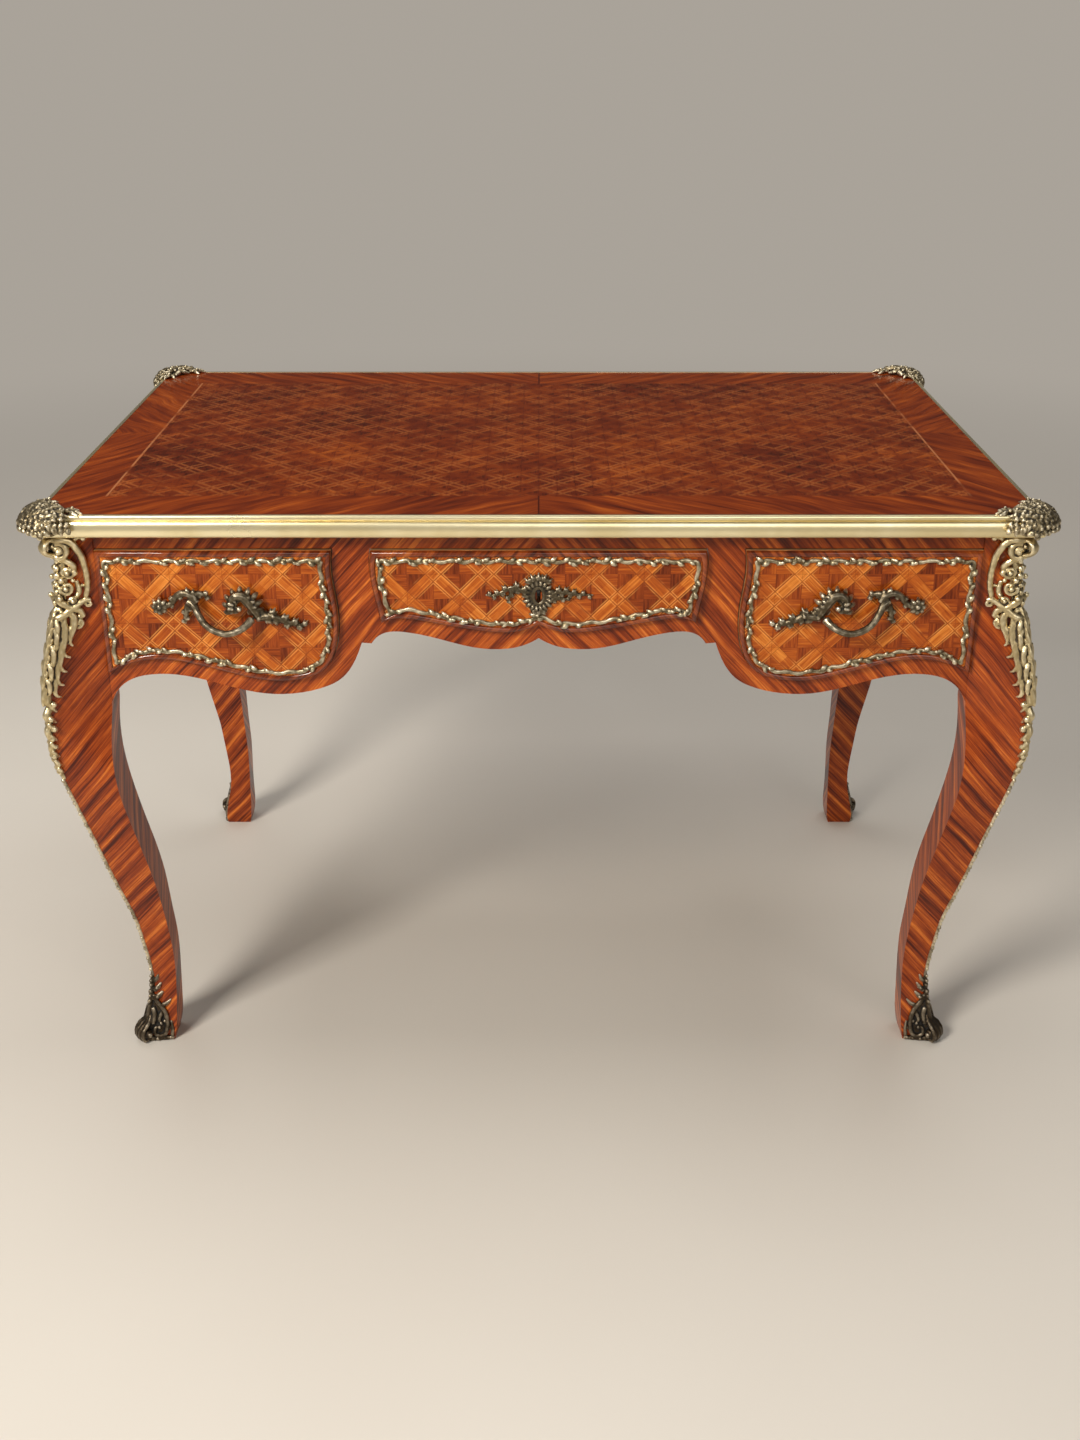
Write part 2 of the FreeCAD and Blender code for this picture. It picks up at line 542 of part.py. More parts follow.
blocks = []
for count, share in enumerate((-0.35, -0.125, 0.125, 0.35)):
    along = ("top_width * %g - block_long / 2" % share, "top_width * %g + block_long / 2" % share)
    blocks.append(box("block_back_%d" % count, along, BLOCK_BACK, BLOCK_Z))
    blocks.append(box("block_front_%d" % count, along, opposite(BLOCK_BACK), BLOCK_Z))
for count, share in enumerate((-0.18, 0.18)):
    along = ("top_depth * %g - block_long / 2" % share, "top_depth * %g + block_long / 2" % share)
    blocks.append(box("block_right_%d" % count, BLOCK_RIGHT, along, BLOCK_Z))
    blocks.append(box("block_left_%d" % count, opposite(BLOCK_RIGHT), along, BLOCK_Z))
node(group("blocks", blocks), "glue_blocks")
doc.recompute()


# Drawers: shaped front, sides housed in it, back between the sides, bottom in grooves
def drawer_front(name, outline):
    """A board with the drawer's outline whose front edge is eased by a bevel all round."""
    body = pad(name, "XZ_Plane", minus(FRONT_REAR), "front_thick - front_bevel", [outline("0")])
    bevel = body.newObject("PartDesign::AdditiveLoft", name + "_bevel")
    bevel.Profile = sketch_in(body, name + "_bevel_low", "XZ_Plane", minus(FRONT_FACE) + " - front_bevel",
                              [outline("0")])
    bevel.Sections = [sketch_in(body, name + "_bevel_high", "XZ_Plane", minus(FRONT_FACE),
                                [outline("-front_bevel * 0.8")])]
    bevel.Ruled = True
    body.Tip = bevel
    doc.recompute()
    return body


REAR = FRONT_REAR + " + box_long"
HOUSED = FRONT_REAR + " - housing_deep"


def drawer_box(name, low_x, high_x, level, bottom_level):
    """The boards of one drawer box; the bottom and back also serve to cut their own grooves."""
    between = (low_x + " + box_side_thick - groove_deep", high_x + " - box_side_thick + groove_deep")
    back_y = (REAR + " - box_back_inset - box_side_thick", REAR + " - box_back_inset")
    floor_top = bottom_level + " + box_bottom_thick"
    bottom = box(name + "_bottom", between, (FRONT_REAR + " - groove_deep", REAR), (bottom_level, floor_top))
    back = box(name + "_back", between, back_y, (floor_top, "box_top_level"))
    low_side = (low_x, low_x + " + box_side_thick")
    high_side = (high_x + " - box_side_thick", high_x)
    boards = [box(name + "_side_low", low_side, (HOUSED, REAR), (level, "box_top_level")),
              box(name + "_side_high", high_side, (HOUSED, REAR), (level, "box_top_level"))]
    grooved = [cut("%s_board_%d" % (name, count), board, [bottom, back])
               for count, board in enumerate(boards)]
    return bottom, back, boards, group(name + "_sides", grooved)


def threaded_post(name, x, z):
    return cylinder(name, "post_hole_radius", "front_thick * 3", x, FRONT_FACE + " - front_thick", z)


HANDLE_POSTS = [("handle_arch_post", "drawer_top_level - arch_post_drop"),
                ("handle_shell_post", "drawer_top_level - shell_post_drop")]
bottom, back, boards, sides = drawer_box("right_box", "side_box_inner", "side_box_outer",
                                         "side_box_level", "side_box_level + side_bottom_lift")
front_body = drawer_front("right_front_blank", side_outline)
post_holes = [threaded_post("post_hole_%d" % count, x, z) for count, (x, z) in enumerate(HANDLE_POSTS)]
right_front = node(cut("right_front", front_body, boards + [bottom] + post_holes), "right_drawer_front")
node(sides, "right_drawer_sides")
node(back, "right_drawer_back")
node(bottom, "right_drawer_bottom")
right_frame = node(frame_ring("right_frame", "XZ_Plane", minus(FRONT_FACE), side_outline, 1),
                   "right_drawer_frame")

nuts = []
for count, (x, z) in enumerate(HANDLE_POSTS):
    disc = cylinder("nut_disc_%d" % count, "nut_radius", "nut_thick", x, FRONT_REAR, z)
    nuts.append(cut("nut_%d" % count, disc, [threaded_post("nut_hole_%d" % count, x, z)]))
right_nuts = node(group("nuts", nuts), "right_handle_nuts")
doc.recompute()


# Cast pieces: bars of six flats lofted along a line of points with a radius at each
def ring_at(point, along, radius, flat):
    lift = FreeCAD.Vector(0, -1, 0)
    if abs(along.dot(lift)) > 0.95:
        lift = FreeCAD.Vector(0, 0, 1)
    across = along.cross(lift).normalize()
    lift = across.cross(along).normalize()
    spots = []
    for turn in range(6):
        angle = math.radians(60 * turn + 30)
        spots.append(point + across * (radius * math.cos(angle)) + lift * (radius * flat * math.sin(angle)))
    return Part.makePolygon(spots + [spots[0]])


def cast_bar(stops, flat=1.0):
    points = [FreeCAD.Vector(*stop[:3]) for stop in stops]
    rings = []
    for place, point in enumerate(points):
        before = points[max(place - 1, 0)]
        after = points[min(place + 1, len(points) - 1)]
        rings.append(ring_at(point, (after - before).normalize(), stops[place][3], flat))
    return Part.makeLoft(rings, True, True)


def cast_shell(centre, size, thick, lobes, start, sweep):
    """A fan of flutes that spring from one point."""
    fan = []
    for lobe in range(lobes):
        angle = math.radians(start + sweep * (lobe + 0.5) / lobes)
        tip = centre + FreeCAD.Vector(math.cos(angle) * size, 0, math.sin(angle) * size)
        wide = size * math.radians(sweep / lobes) * 0.62
        middle = centre + (tip - centre) * 0.6
        stops = [(centre.x, centre.y, centre.z, wide * 0.35),
                 (middle.x, middle.y - thick * 0.4, middle.z, wide), (tip.x, tip.y, tip.z, wide * 0.55)]
        fan.append(cast_bar(stops, thick / wide * 0.8))
    return fan


face_y = value(FRONT_FACE)
stand = value("handle_stand")
level = value("drawer_top_level - shell_post_drop - 1")
mid_x = value("handle_arch_post + handle_shell_post") / 2


def grip(x, z, off, radius):
    """A stop of the handle: along and up from its middle, off the drawer front, and its radius."""
    return (mid_x + x, face_y - off, level + z, radius)


bail = [grip(90, -1, 3, 3), grip(70, 1, 5, 5.5), grip(55, 17, 6, 5), grip(40, 26, 7, 5.5),
        grip(31, 17, 9, 4.5), grip(24, -2, stand * 0.75, 4.2), grip(10, -20, stand, 4.6),
        grip(-6, -28, stand, 4.8), grip(-24, -22, stand, 4.6), grip(-33, -6, stand * 0.8, 4.2),
        grip(-36, 7, 10, 4.5)]
branch = [grip(-30, -11, stand * 0.6, 3.6), grip(-50, -4, 8, 4.2), grip(-66, 5, 5, 5.5),
          grip(-82, 2, 5, 4.5), grip(-97, 0, 3, 2.5)]
leaf_low = [grip(33, 14, 8, 3), grip(37, 2, 7, 4), grip(38, -12, 4, 2.2)]
leaf_high = [grip(-60, 2, 6, 3), grip(-67, 14, 5, 3.5), grip(-71, 21, 3, 1.8)]
leaf_under = [grip(-52, -5, 6, 3), grip(-62, -14, 5, 3.6), grip(-68, -21, 3, 1.8)]
leaf_end = [grip(44, 26, 7, 4), grip(27, 27, 6, 4.4), grip(16, 21, 3.5, 2.2)]
castings = [cast_bar(stops) for stops in (bail, branch, leaf_low, leaf_high, leaf_under, leaf_end)]
castings += cast_shell(FreeCAD.Vector(mid_x - 31, face_y - 7, level + 2), 33, 5, 6, 55, 130)
BACKWARDS = FreeCAD.Vector(0, 1, 0)
POST_START = 6
POST_END = 2
TOUCH = 0.01
span = value("side_span")
front_block = Part.makeBox(span, value("front_thick"), span,
                           FreeCAD.Vector(mid_x - span / 2, face_y, level - span / 2))
for x, z in HANDLE_POSTS:
    post_length = value("front_thick + nut_thick") + POST_START + POST_END
    start = FreeCAD.Vector(value(x), face_y - POST_START, value(z))
    castings.append(Part.makeCylinder(value("post_radius"), post_length, start, BACKWARDS))
    start = FreeCAD.Vector(value(x), face_y, value(z))
    hole = Part.makeCylinder(value("post_radius") + TOUCH, value("front_thick"), start, BACKWARDS)
    front_block = front_block.cut(hole)
solid_handle = castings[0].multiFuse(castings[1:])
right_handle = doc.addObject("Part::Feature", "right_handle")
right_handle.Shape = solid_handle.cut(front_block)
node(right_handle, "right_drawer_handle")
for source, label in ((right_front, "left_drawer_front"), (sides, "left_drawer_sides"),
                      (back, "left_drawer_back"), (bottom, "left_drawer_bottom"),
                      (right_frame, "left_drawer_frame"),
                      (right_handle, "left_drawer_handle"), (right_nuts, "left_handle_nuts")):
    node(mirror(label + "_mirror", source, ACROSS), label)
doc.recompute()

# Centre drawer with its lock and escutcheon
bottom, back, boards, sides = drawer_box("centre_box", "-centre_box_half", "centre_box_half",
                                         "centre_box_level", "centre_box_level + centre_bottom_lift")
front_body = drawer_front("centre_front_blank", centre_outline)


def keyhole(name):
    """A through cut: a round head with a straight slot below it."""
    turns = (-30, 8, 46, 84, 122, 166, 210)
    head = [("keyhole_radius * %.4f" % math.cos(math.radians(turn)),
             "keyhole_level + keyhole_radius * %.4f" % math.sin(math.radians(turn))) for turn in turns]
    spots = head + [("-keyhole_slot / 2", "keyhole_level - keyhole_radius"),
                    ("-keyhole_slot / 2", "keyhole_level - keyhole_drop"),
                    ("keyhole_slot / 2", "keyhole_level - keyhole_drop"),
                    ("keyhole_slot / 2", "keyhole_level - keyhole_radius")]
    loop = [[spots[k], spots[(k + 1) % len(spots)]] for k in range(len(spots))]
    return [pad(name, "XZ_Plane", minus(FRONT_FACE) + " - front_thick * 1.4", "front_thick * 2.8", [loop])]


LOCK_X = ("-lock_half_wide", "lock_half_wide")
LOCK_Y = (FRONT_REAR + " - lock_sunk", FRONT_REAR + " + lock_deep")
lock_seat = box("lock_seat", LOCK_X, LOCK_Y, ("lock_low_level", UNDER))
seated = cut("centre_front_seated", front_body, [lock_seat])
pierced = cut("centre_front_pierced", seated, keyhole("front_keyhole"))
node(cut("centre_front", pierced, boards + [bottom]), "centre_drawer_front")
node(sides, "centre_drawer_sides")
node(back, "centre_drawer_back")
node(bottom, "centre_drawer_bottom")
node(frame_ring("centre_frame", "XZ_Plane", minus(FRONT_FACE), centre_outline, 1), "centre_drawer_frame")

case_block = box("case_block", LOCK_X, LOCK_Y, ("lock_low_level", "lock_top_level"))
bolt_way = box("bolt_way", ("-bolt_half_wide - bolt_gap", "bolt_half_wide + bolt_gap"),
               (BOLT_FACE + " - bolt_gap", BOLT_FACE + " + bolt_thick + bolt_gap"),
               ("bolt_low_level - bolt_gap / 2", UNDER))
node(cut("case", case_block, [bolt_way] + keyhole("case_keyhole")), "lock_case")
node(box("bolt", ("-bolt_half_wide", "bolt_half_wide"), (BOLT_FACE, BOLT_FACE + " + bolt_thick"),
         ("bolt_low_level", "lock_top_level + bolt_proud")), "lock_bolt")

plate_half = value("escutcheon_half_wide")
plate_high = value("escutcheon_half_high")
plate_thick = value("escutcheon_thick")
plate_level = value("keyhole_level - escutcheon_drop")
span = 2 * value("centre_drawer_half")


def spray(x, z, off, radius):
    """A stop of a leaf spray: along and up from the plate's middle, off the front, and its radius."""
    return (x, face_y - off, plate_level + z, radius)


def oval_disc(shrink, thick):
    edge = Part.Ellipse(FreeCAD.Vector(0, 0, 0), plate_high - shrink, plate_half - shrink)
    return Part.Face(Part.Wire(edge.toShape())).extrude(FreeCAD.Vector(0, 0, thick))


plate = oval_disc(0, plate_thick * 0.6).fuse(oval_disc(3, plate_thick))
plate = plate.cut(oval_disc(6, plate_thick * 2).translated(FreeCAD.Vector(0, 0, plate_thick * 0.7)))
plate.Placement = FreeCAD.Placement(FreeCAD.Vector(0, face_y, plate_level),
                                    FreeCAD.Rotation(FreeCAD.Vector(1, 0, 0), 90)
                                    * FreeCAD.Rotation(FreeCAD.Vector(0, 0, 1), 90))
sprays = [
    [spray(15, 3, 2, 3.2), spray(28, 6, 3, 3.4), spray(38, 5, 3, 4.6), spray(48, 0, 3, 4.2),
     spray(56, 2, 2, 3), spray(66, 2, 1.5, 1.2)],
    [spray(14, -4, 2, 2.6), spray(28, -3, 2.5, 2.8), spray(40, -4, 2.5, 3.4), spray(48, -8, 1.5, 1.4)],
    [spray(-15, 3, 2, 3.2), spray(-26, 8, 3, 3.4), spray(-38, 7, 3, 4.4), spray(-50, 0, 3, 4.2),
     spray(-62, -2, 1.5, 1.4)],
    [spray(-30, 5, 2.5, 3), spray(-36, -4, 2.5, 3.4), spray(-41, -12, 1.5, 1.4)],
    [spray(-12, 17, 2, 2.8), spray(-4, 21, 3, 3.4), spray(6, 20, 3, 3.4), spray(14, 15, 2, 2.6)],
]
badge = plate.multiFuse([cast_bar(stops) for stops in sprays])
behind = Part.makeBox(span, value("front_thick"), span,
                      FreeCAD.Vector(-span / 2, face_y, plate_level - span / 2))
badge_piece = doc.addObject("Part::Feature", "badge")
badge_piece.Shape = badge.cut(behind)
node(cut("escutcheon_cut", badge_piece, keyhole("escutcheon_keyhole")), "keyhole_escutcheon")
doc.recompute()


# Knee mounts: an angle that hugs the arris, scalloped in width, with scrolls on both faces
def leg_at(height):
    """Arris swell, inner corner and meeting edge of the leg at a height, straight between sections."""
    rows = [(value(name + "_level"), value(name + "_swell"), value(name + "_inner"), share)
            for name, _, _, _, share in LEG]
    for upper, lower in zip(rows, rows[1:]):
        if lower[0] <= height <= upper[0]:
            part = (height - lower[0]) / (upper[0] - lower[0])
            return [lower[k] + (upper[k] - lower[k]) * part for k in (1, 2, 3)]
    return rows[-1][1:]


corner_x = value(FACE_X)
corner_y = value(FACE_Y)


def face_drop(height, along):
    """How far the leg's face falls back from the arris at a distance along it."""
    swell, inner_corner, share = leg_at(height)
    return (swell - swell * share) * along / (swell + inner_corner)


def hug(height, wide, thick, bury):
    swell, _, _ = leg_at(height)
    fall = face_drop(height, wide)
    x = corner_x + swell
    y = corner_y + swell
    spots = [(x + thick, y + thick), (x - wide, y + thick * 0.55 - fall), (x - wide, y - bury - fall),
             (x - bury, y - bury), (x - bury - fall, y - wide), (x + thick * 0.55 - fall, y - wide)]
    line = [FreeCAD.Vector(a, b, height) for a, b in spots]
    return Part.makePolygon(line + [line[0]])


thick = value("chute_thick")
cap_z = value(UNDER)
# Down from the top, width on each face and share of the full thickness
CHUTE = [(0, 21, 1.0), (12, 17, 1.1), (30, 25, 0.85), (52, 38, 0.8), (78, 40, 1.1), (92, 36, 1.0),
         (108, 30, 0.9), (130, 27, 0.9), (160, 22, 0.8), (182, 17, 0.75), (196, 7, 0.8), (230, 9, 0.95),
         (262, 5, 0.7), (318, 4, 0.6)]
CHUTE_CLEAR = 0.5
bury = value("chute_bury")
chute_wires = [hug(cap_z - CHUTE_CLEAR - down, wide, thick * heavy, bury) for down, wide, heavy in CHUTE]
chute_shape = Part.makeLoft(chute_wires, True, True)


def on_face(down, along, off, radius, side):
    """A point on one of the two outer faces of the leg, measured from the arris."""
    height = cap_z - down
    swell, _, _ = leg_at(height)
    fall = face_drop(height, along)
    if side == "back":
        return (corner_x + swell - along, corner_y + swell + off - fall, height, radius)
    return (corner_x + swell + off - fall, corner_y + swell - along, height, radius)


# Stops of the scrolled strap and of the leaf: down, along the face, off it, and radius
STRAP = [(8, 40, 2, 5), (10, 28, 3, 3), (16, 20, 4, 5), (35, 38, 2, 4.5), (60, 46, 2, 4.5), (85, 47, 2, 5),
         (105, 42, 2, 5), (112, 33, 2, 4)]
LEAF = [(150, 24, 2, 3), (172, 25, 2, 5), (194, 24, 1, 2)]
scrolls = [cast_bar([on_face(*stop, side) for stop in stops])
           for side in ("back", "side") for stops in (STRAP, LEAF)]
volute_z = cap_z - value("volute_drop")
volute_out = leg_at(volute_z)[0] + bury + 1
volute_at = FreeCAD.Vector(corner_x + volute_out, corner_y + volute_out, volute_z)
diagonal = FreeCAD.Vector(1, -1, 0).normalize()
roll = value("volute_wide")
scrolls.append(Part.makeCylinder(value("volute_radius"), roll, volute_at - diagonal * (roll / 2), diagonal))
chute_shape = chute_shape.multiFuse(scrolls)
above = value("top_depth / 2")
above_at = FreeCAD.Vector(corner_x - above / 2, corner_y - above / 2, cap_z)
chute_shape = chute_shape.cut(Part.makeBox(above, above, above, above_at))
chute_raw = doc.addObject("Part::Feature", "chute_raw")
chute_raw.Shape = chute_shape
chute = node(cut("chute", chute_raw, [leg]), "knee_mount_back_right")
corners_from(chute, "knee_mount")

# Strips down the arris between knee mount and foot mount
strip_wide = value("strip_wide")
strip_thick = value("strip_thick")
strip_top = cap_z - CHUTE[-1][0] - value("strip_gap")
strip_low = value("sabot_high + strip_gap")
SHORTEST_SPAN = 5
leg_levels = [value(name + "_level") for name, _, _, _, _ in LEG]
between = [height for height in leg_levels if strip_low + SHORTEST_SPAN < height < strip_top - SHORTEST_SPAN]
strip_wires = [hug(height, strip_wide, strip_thick, value("strip_bury"))
               for height in [strip_top] + between + [strip_low]]
strip_raw = doc.addObject("Part::Feature", "strip_raw")
strip_raw.Shape = Part.makeLoft(strip_wires, True, True)
strip = cut("strip", strip_raw, [leg])
strip_front = mirror("strip_front", strip, FRONT_BACK)
left_strips = [mirror("strip_left", strip, ACROSS), mirror("strip_fl", strip_front, ACROSS)]
node(group("strips", [strip, strip_front] + left_strips), "leg_edge_strips")
doc.recompute()

# Foot mounts: a sleeve round the two outer faces, higher at the arris, with a rolled toe
wall = value("sabot_wall")
high = value("sabot_high")
SLEEVE_DEEP = 16


def sleeve(height, wide, grow):
    """One level section of the sleeve: an angle along the two outer faces."""
    swell, _, _ = leg_at(height)
    x = corner_x + swell + wall + grow
    y = corner_y + swell + wall + grow
    deep = min(SLEEVE_DEEP, wide * 0.75)
    spots = [(x, y), (x - wide, y), (x - wide, y - deep), (x - deep, y - deep), (x - deep, y - wide),
             (x, y - wide)]
    line = [FreeCAD.Vector(a, b, height) for a, b in spots]
    return Part.makePolygon(line + [line[0]])


# Share of the height, width on each face and how far it stands out
SLEEVE = [(0, 34, 9), (0.08, 37, 11), (0.2, 38, 5), (0.36, 36, 1.5), (0.46, 38, 2), (0.6, 27, 0.5),
          (0.7, 30, 1.5), (0.76, 18, 0), (0.9, 16, 0.5), (1.0, 6, -0.5)]
sabot_shape = Part.makeLoft([sleeve(high * up, wide, grow) for up, wide, grow in SLEEVE], True, True)
toe = value("toe_radius")
toe_out = leg_at(toe)[0] + value("toe_out")
toe_at = FreeCAD.Vector(corner_x + toe_out, corner_y + toe_out, toe)
roll = value("toe_wide")
sabot_shape = sabot_shape.fuse(Part.makeCylinder(toe, roll, toe_at - diagonal * (roll / 2), diagonal))
sabot_raw = doc.addObject("Part::Feature", "sabot_raw")
sabot_raw.Shape = sabot_shape
sabot = node(cut("sabot", sabot_raw, [leg]), "foot_mount_back_right")
corners_from(sabot, "foot_mount")
doc.recompute()

# Corner mounts: a domed shell over the corner of the top, fluted, with a leaf along each edge
rise = value("mount_rise")
reach = value("mount_reach")
past = value("mount_past")
edge_x = value("top_width / 2")
edge_y = value("top_depth / 2")
top_z = value("table_height")


def swapped(points):
    return [(b, a) for a, b in points]


# Half the outline seen from above, measured in from the two edges of the top
half_plan = [(reach, 3), (reach * 0.82, -4), (reach * 0.55, -past * 0.55), (reach * 0.3, -past * 0.75),
             (reach * 0.02, -past)]
inside = [(reach * 0.62, 15), (reach * 0.5, 13), (reach * 0.48, 30)]
crotch = (reach * 0.46, reach * 0.46)
plan = half_plan + swapped(half_plan[::-1]) + swapped(inside) + [crotch] + inside[::-1]
ring = [FreeCAD.Vector(edge_x - a, edge_y - b, value(UNDER)) for a, b in plan]
upwards = FreeCAD.Vector(0, 0, top_z + rise - value(UNDER))
slab = Part.Face(Part.makePolygon(ring + [ring[0]])).extrude(upwards)
dome = value("mount_dome")
heart = FreeCAD.Vector(edge_x - 10, edge_y - 10, top_z + rise - dome)
slab = slab.common(Part.makeSphere(dome, heart))
flutes = []
for turn in (-62, -31, 0, 31, 62):
    angle = math.radians(225 + turn)
    outward = FreeCAD.Vector(math.cos(angle), math.sin(angle), -0.16).normalize()
    start = FreeCAD.Vector(edge_x - 4, edge_y - 4, top_z + rise + 3.4) + outward * 8
    flutes.append(Part.makeCylinder(value("flute_radius"), reach * 1.25, start, outward))
slab = slab.cut(flutes[0].multiFuse(flutes[1:]))
mount_raw = doc.addObject("Part::Feature", "mount_raw")
mount_raw.Shape = slab
doc.recompute()
seat = box("mount_seat", ("0", EDGE_X), ("0", EDGE_Y), (UNDER + " - 5", "table_height"))
mount = node(cut("mount", mount_raw, [seat, edge_body]), "corner_mount_back_right")
corners_from(mount, "corner_mount")
doc.recompute()

# Every object must be sound before anything is written
faults = []
for thing in doc.Objects:
    if "Invalid" in thing.State or "Error" in thing.State:
        faults.append("%s: %s" % (thing.Label, thing.State))
for piece in NODES:
    if piece.Shape.isNull() or not piece.Shape.isValid() or not piece.Shape.Solids:
        faults.append("%s: unsound shape" % piece.Label)
if faults:
    raise RuntimeError("; ".join(faults))
for piece in NODES:
    piece.Shape.exportStep("parts/%s.step" % piece.Label)
print("%d nodes written" % len(NODES))
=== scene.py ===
import json
import math
from functools import partialmethod
import bmesh
import bpy
import numpy as np
from mathutils import Matrix, Vector, noise
from mathutils.bvhtree import BVHTree


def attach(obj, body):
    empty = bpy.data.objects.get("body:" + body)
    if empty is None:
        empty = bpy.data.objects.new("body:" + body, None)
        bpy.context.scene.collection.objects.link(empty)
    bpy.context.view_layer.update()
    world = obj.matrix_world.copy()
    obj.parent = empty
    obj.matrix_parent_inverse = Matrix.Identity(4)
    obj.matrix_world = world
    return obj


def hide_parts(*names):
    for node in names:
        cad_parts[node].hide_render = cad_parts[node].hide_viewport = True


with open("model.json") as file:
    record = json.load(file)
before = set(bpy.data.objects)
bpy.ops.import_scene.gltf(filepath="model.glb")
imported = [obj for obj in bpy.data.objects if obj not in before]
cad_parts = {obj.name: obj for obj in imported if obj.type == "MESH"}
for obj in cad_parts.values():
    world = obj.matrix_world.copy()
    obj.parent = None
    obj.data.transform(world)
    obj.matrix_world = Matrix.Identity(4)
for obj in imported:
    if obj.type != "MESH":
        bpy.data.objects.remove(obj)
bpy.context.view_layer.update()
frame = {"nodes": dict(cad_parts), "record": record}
MM = 0.001


# Shader graphs
class Graph:
    """The node tree of a material or a world, with short ways to add nodes."""

    def __init__(self, name, group="materials"):
        self.holder = getattr(bpy.data, group).new(name)
        self.holder.use_nodes = True
        self.tree = self.holder.node_tree
        self.shader = self.tree.nodes.get("Principled BSDF")

    def feed(self, socket, source):
        """Link a socket to a source, or set it to a number or a colour."""
        if isinstance(source, bpy.types.NodeSocket):
            self.tree.links.new(source, socket)
        elif isinstance(source, tuple):
            socket.default_value = (*source, 1.0)
        else:
            socket.default_value = source

    def add(self, kind, *sources, **settings):
        """A new node with its settings, whose first sockets are fed."""
        made = self.tree.nodes.new(kind)
        for key, setting in settings.items():
            setattr(made, key, setting)
        for socket, source in zip(made.inputs, sources):
            self.feed(socket, source)
        return made

    def math(self, operation, *sources):
        return self.add("ShaderNodeMath", *sources, operation=operation).outputs[0]

    plus = partialmethod(math, "ADD")
    minus = partialmethod(math, "SUBTRACT")
    times = partialmethod(math, "MULTIPLY")
    scaled = partialmethod(math, "MULTIPLY_ADD")
    size = partialmethod(math, "ABSOLUTE")
    floor = partialmethod(math, "FLOOR")
    fract = partialmethod(math, "FRACT")
    sign = partialmethod(math, "SIGN")
    least = partialmethod(math, "MINIMUM")

    def step(self, source, low, high):
        """A smooth rise from 0 at low to 1 at high."""
        made = self.add("ShaderNodeMapRange", source, low, high, 0.0, 1.0, interpolation_type="SMOOTHSTEP")
        return made.outputs[0]

    def mix(self, share, first, second):
        """A colour between two colours."""
        made = self.add("ShaderNodeMix", share, data_type="RGBA")
        self.feed(made.inputs[6], first)
        self.feed(made.inputs[7], second)
        return made.outputs[2]

    def blend_values(self, share, first, second):
        made = self.add("ShaderNodeMix", share, data_type="FLOAT")
        self.feed(made.inputs[2], first)
        self.feed(made.inputs[3], second)
        return made.outputs[0]

    def vector(self, x, y, z):
        return self.add("ShaderNodeCombineXYZ", x, y, z).outputs[0]

    def parts(self, source):
        return tuple(self.add("ShaderNodeSeparateXYZ", source).outputs)

    def noise(self, at, scale, detail=4.0, rough=0.55):
        made = self.add("ShaderNodeTexNoise", at)
        for key, setting in (("Scale", scale), ("Detail", detail), ("Roughness", rough)):
            made.inputs[key].default_value = setting
        return made.outputs[0]

    def streaks(self, across, along, layer, per_across, per_along, detail=3.0, rough=0.6):
        """Noise drawn out along the grain, with so many waves per metre across it and along it."""
        at = self.vector(self.times(across, per_across), self.times(along, per_along), layer)
        return self.noise(at, 1.0, detail, rough)

    def chance(self, x, y, z):
        """A random number that is the same wherever x, y and z are."""
        return self.add("ShaderNodeTexWhiteNoise", self.vector(x, y, z), noise_dimensions="3D").outputs[0]

    def ramp(self, source, places, tones):
        """Colours set at places along a source."""
        made = self.add("ShaderNodeValToRGB", source)
        marks = made.color_ramp.elements
        while len(marks) < len(places):
            marks.new(0.5)
        for mark, place, tone in zip(marks, places, tones):
            mark.position = place
            mark.color = (*tone, 1.0)
        return made.outputs[0]

    def place(self):
        """Position in the piece's own frame, which is the table's frame at rest, and the normal."""
        made = self.add("ShaderNodeTexCoord")
        return made.outputs["Object"], made.outputs["Normal"]

    def bump(self, height, strength, distance):
        made = self.add("ShaderNodeBump")
        made.inputs["Strength"].default_value = strength
        made.inputs["Distance"].default_value = distance
        self.feed(made.inputs["Height"], height)
        self.feed(self.shader.inputs["Normal"], made.outputs[0])

    def finish(self, colour, **settings):
        self.feed(self.shader.inputs["Base Color"], colour)
        for key, setting in settings.items():
            self.feed(self.shader.inputs[key.replace("_", " ")], setting)
        return self.holder


# Woods: tones run from dark to light
VENEER_TONES = [(0.055, 0.007, 0.002), (0.20, 0.029, 0.004), (0.37, 0.068, 0.008), (0.64, 0.175, 0.024)]
FACE_TONES = [(0.10, 0.014, 0.002), (0.26, 0.045, 0.005), (0.43, 0.098, 0.010), (0.66, 0.225, 0.033)]
TOP_TONES = [(0.040, 0.005, 0.001), (0.105, 0.013, 0.002), (0.185, 0.029, 0.003), (0.40, 0.098, 0.011)]
BAND_TONES = [(0.046, 0.005, 0.001), (0.13, 0.017, 0.002), (0.24, 0.041, 0.004), (0.44, 0.108, 0.013)]
LIP_TONES = [(0.035, 0.005, 0.002), (0.12, 0.018, 0.003), (0.23, 0.042, 0.006), (0.42, 0.11, 0.016)]
OAK_TONES = [(0.16, 0.085, 0.035), (0.30, 0.18, 0.085), (0.42, 0.28, 0.14)]
OAK_PLACES = (0.32, 0.52, 0.70)
FACE_LINE = (0.85, 0.36, 0.08)
TOP_LINE = (0.50, 0.16, 0.04)
BORDER_LINE = (0.42, 0.16, 0.06)
STRIPE_LEAN = math.radians(48.0)
BORDER_LEAN = math.radians(38.0)
# Distance from the table's middle at which the veneered skin of the drawer fronts begins
VENEER_DEPTH = 0.3664
# Half sizes of the top's field and widths of the border at its ends and along its front
FIELD_X = 0.526
FIELD_Y = 0.304
BORDER_X = 0.066
BORDER_Y = 0.078
# Cells added before counting, so that all counts are above zero
CELLS = 50.0
# Width of a parquetry band and softness of its edge, as shares of a cell
BAND = 0.15
BAND_SOFT = 0.006


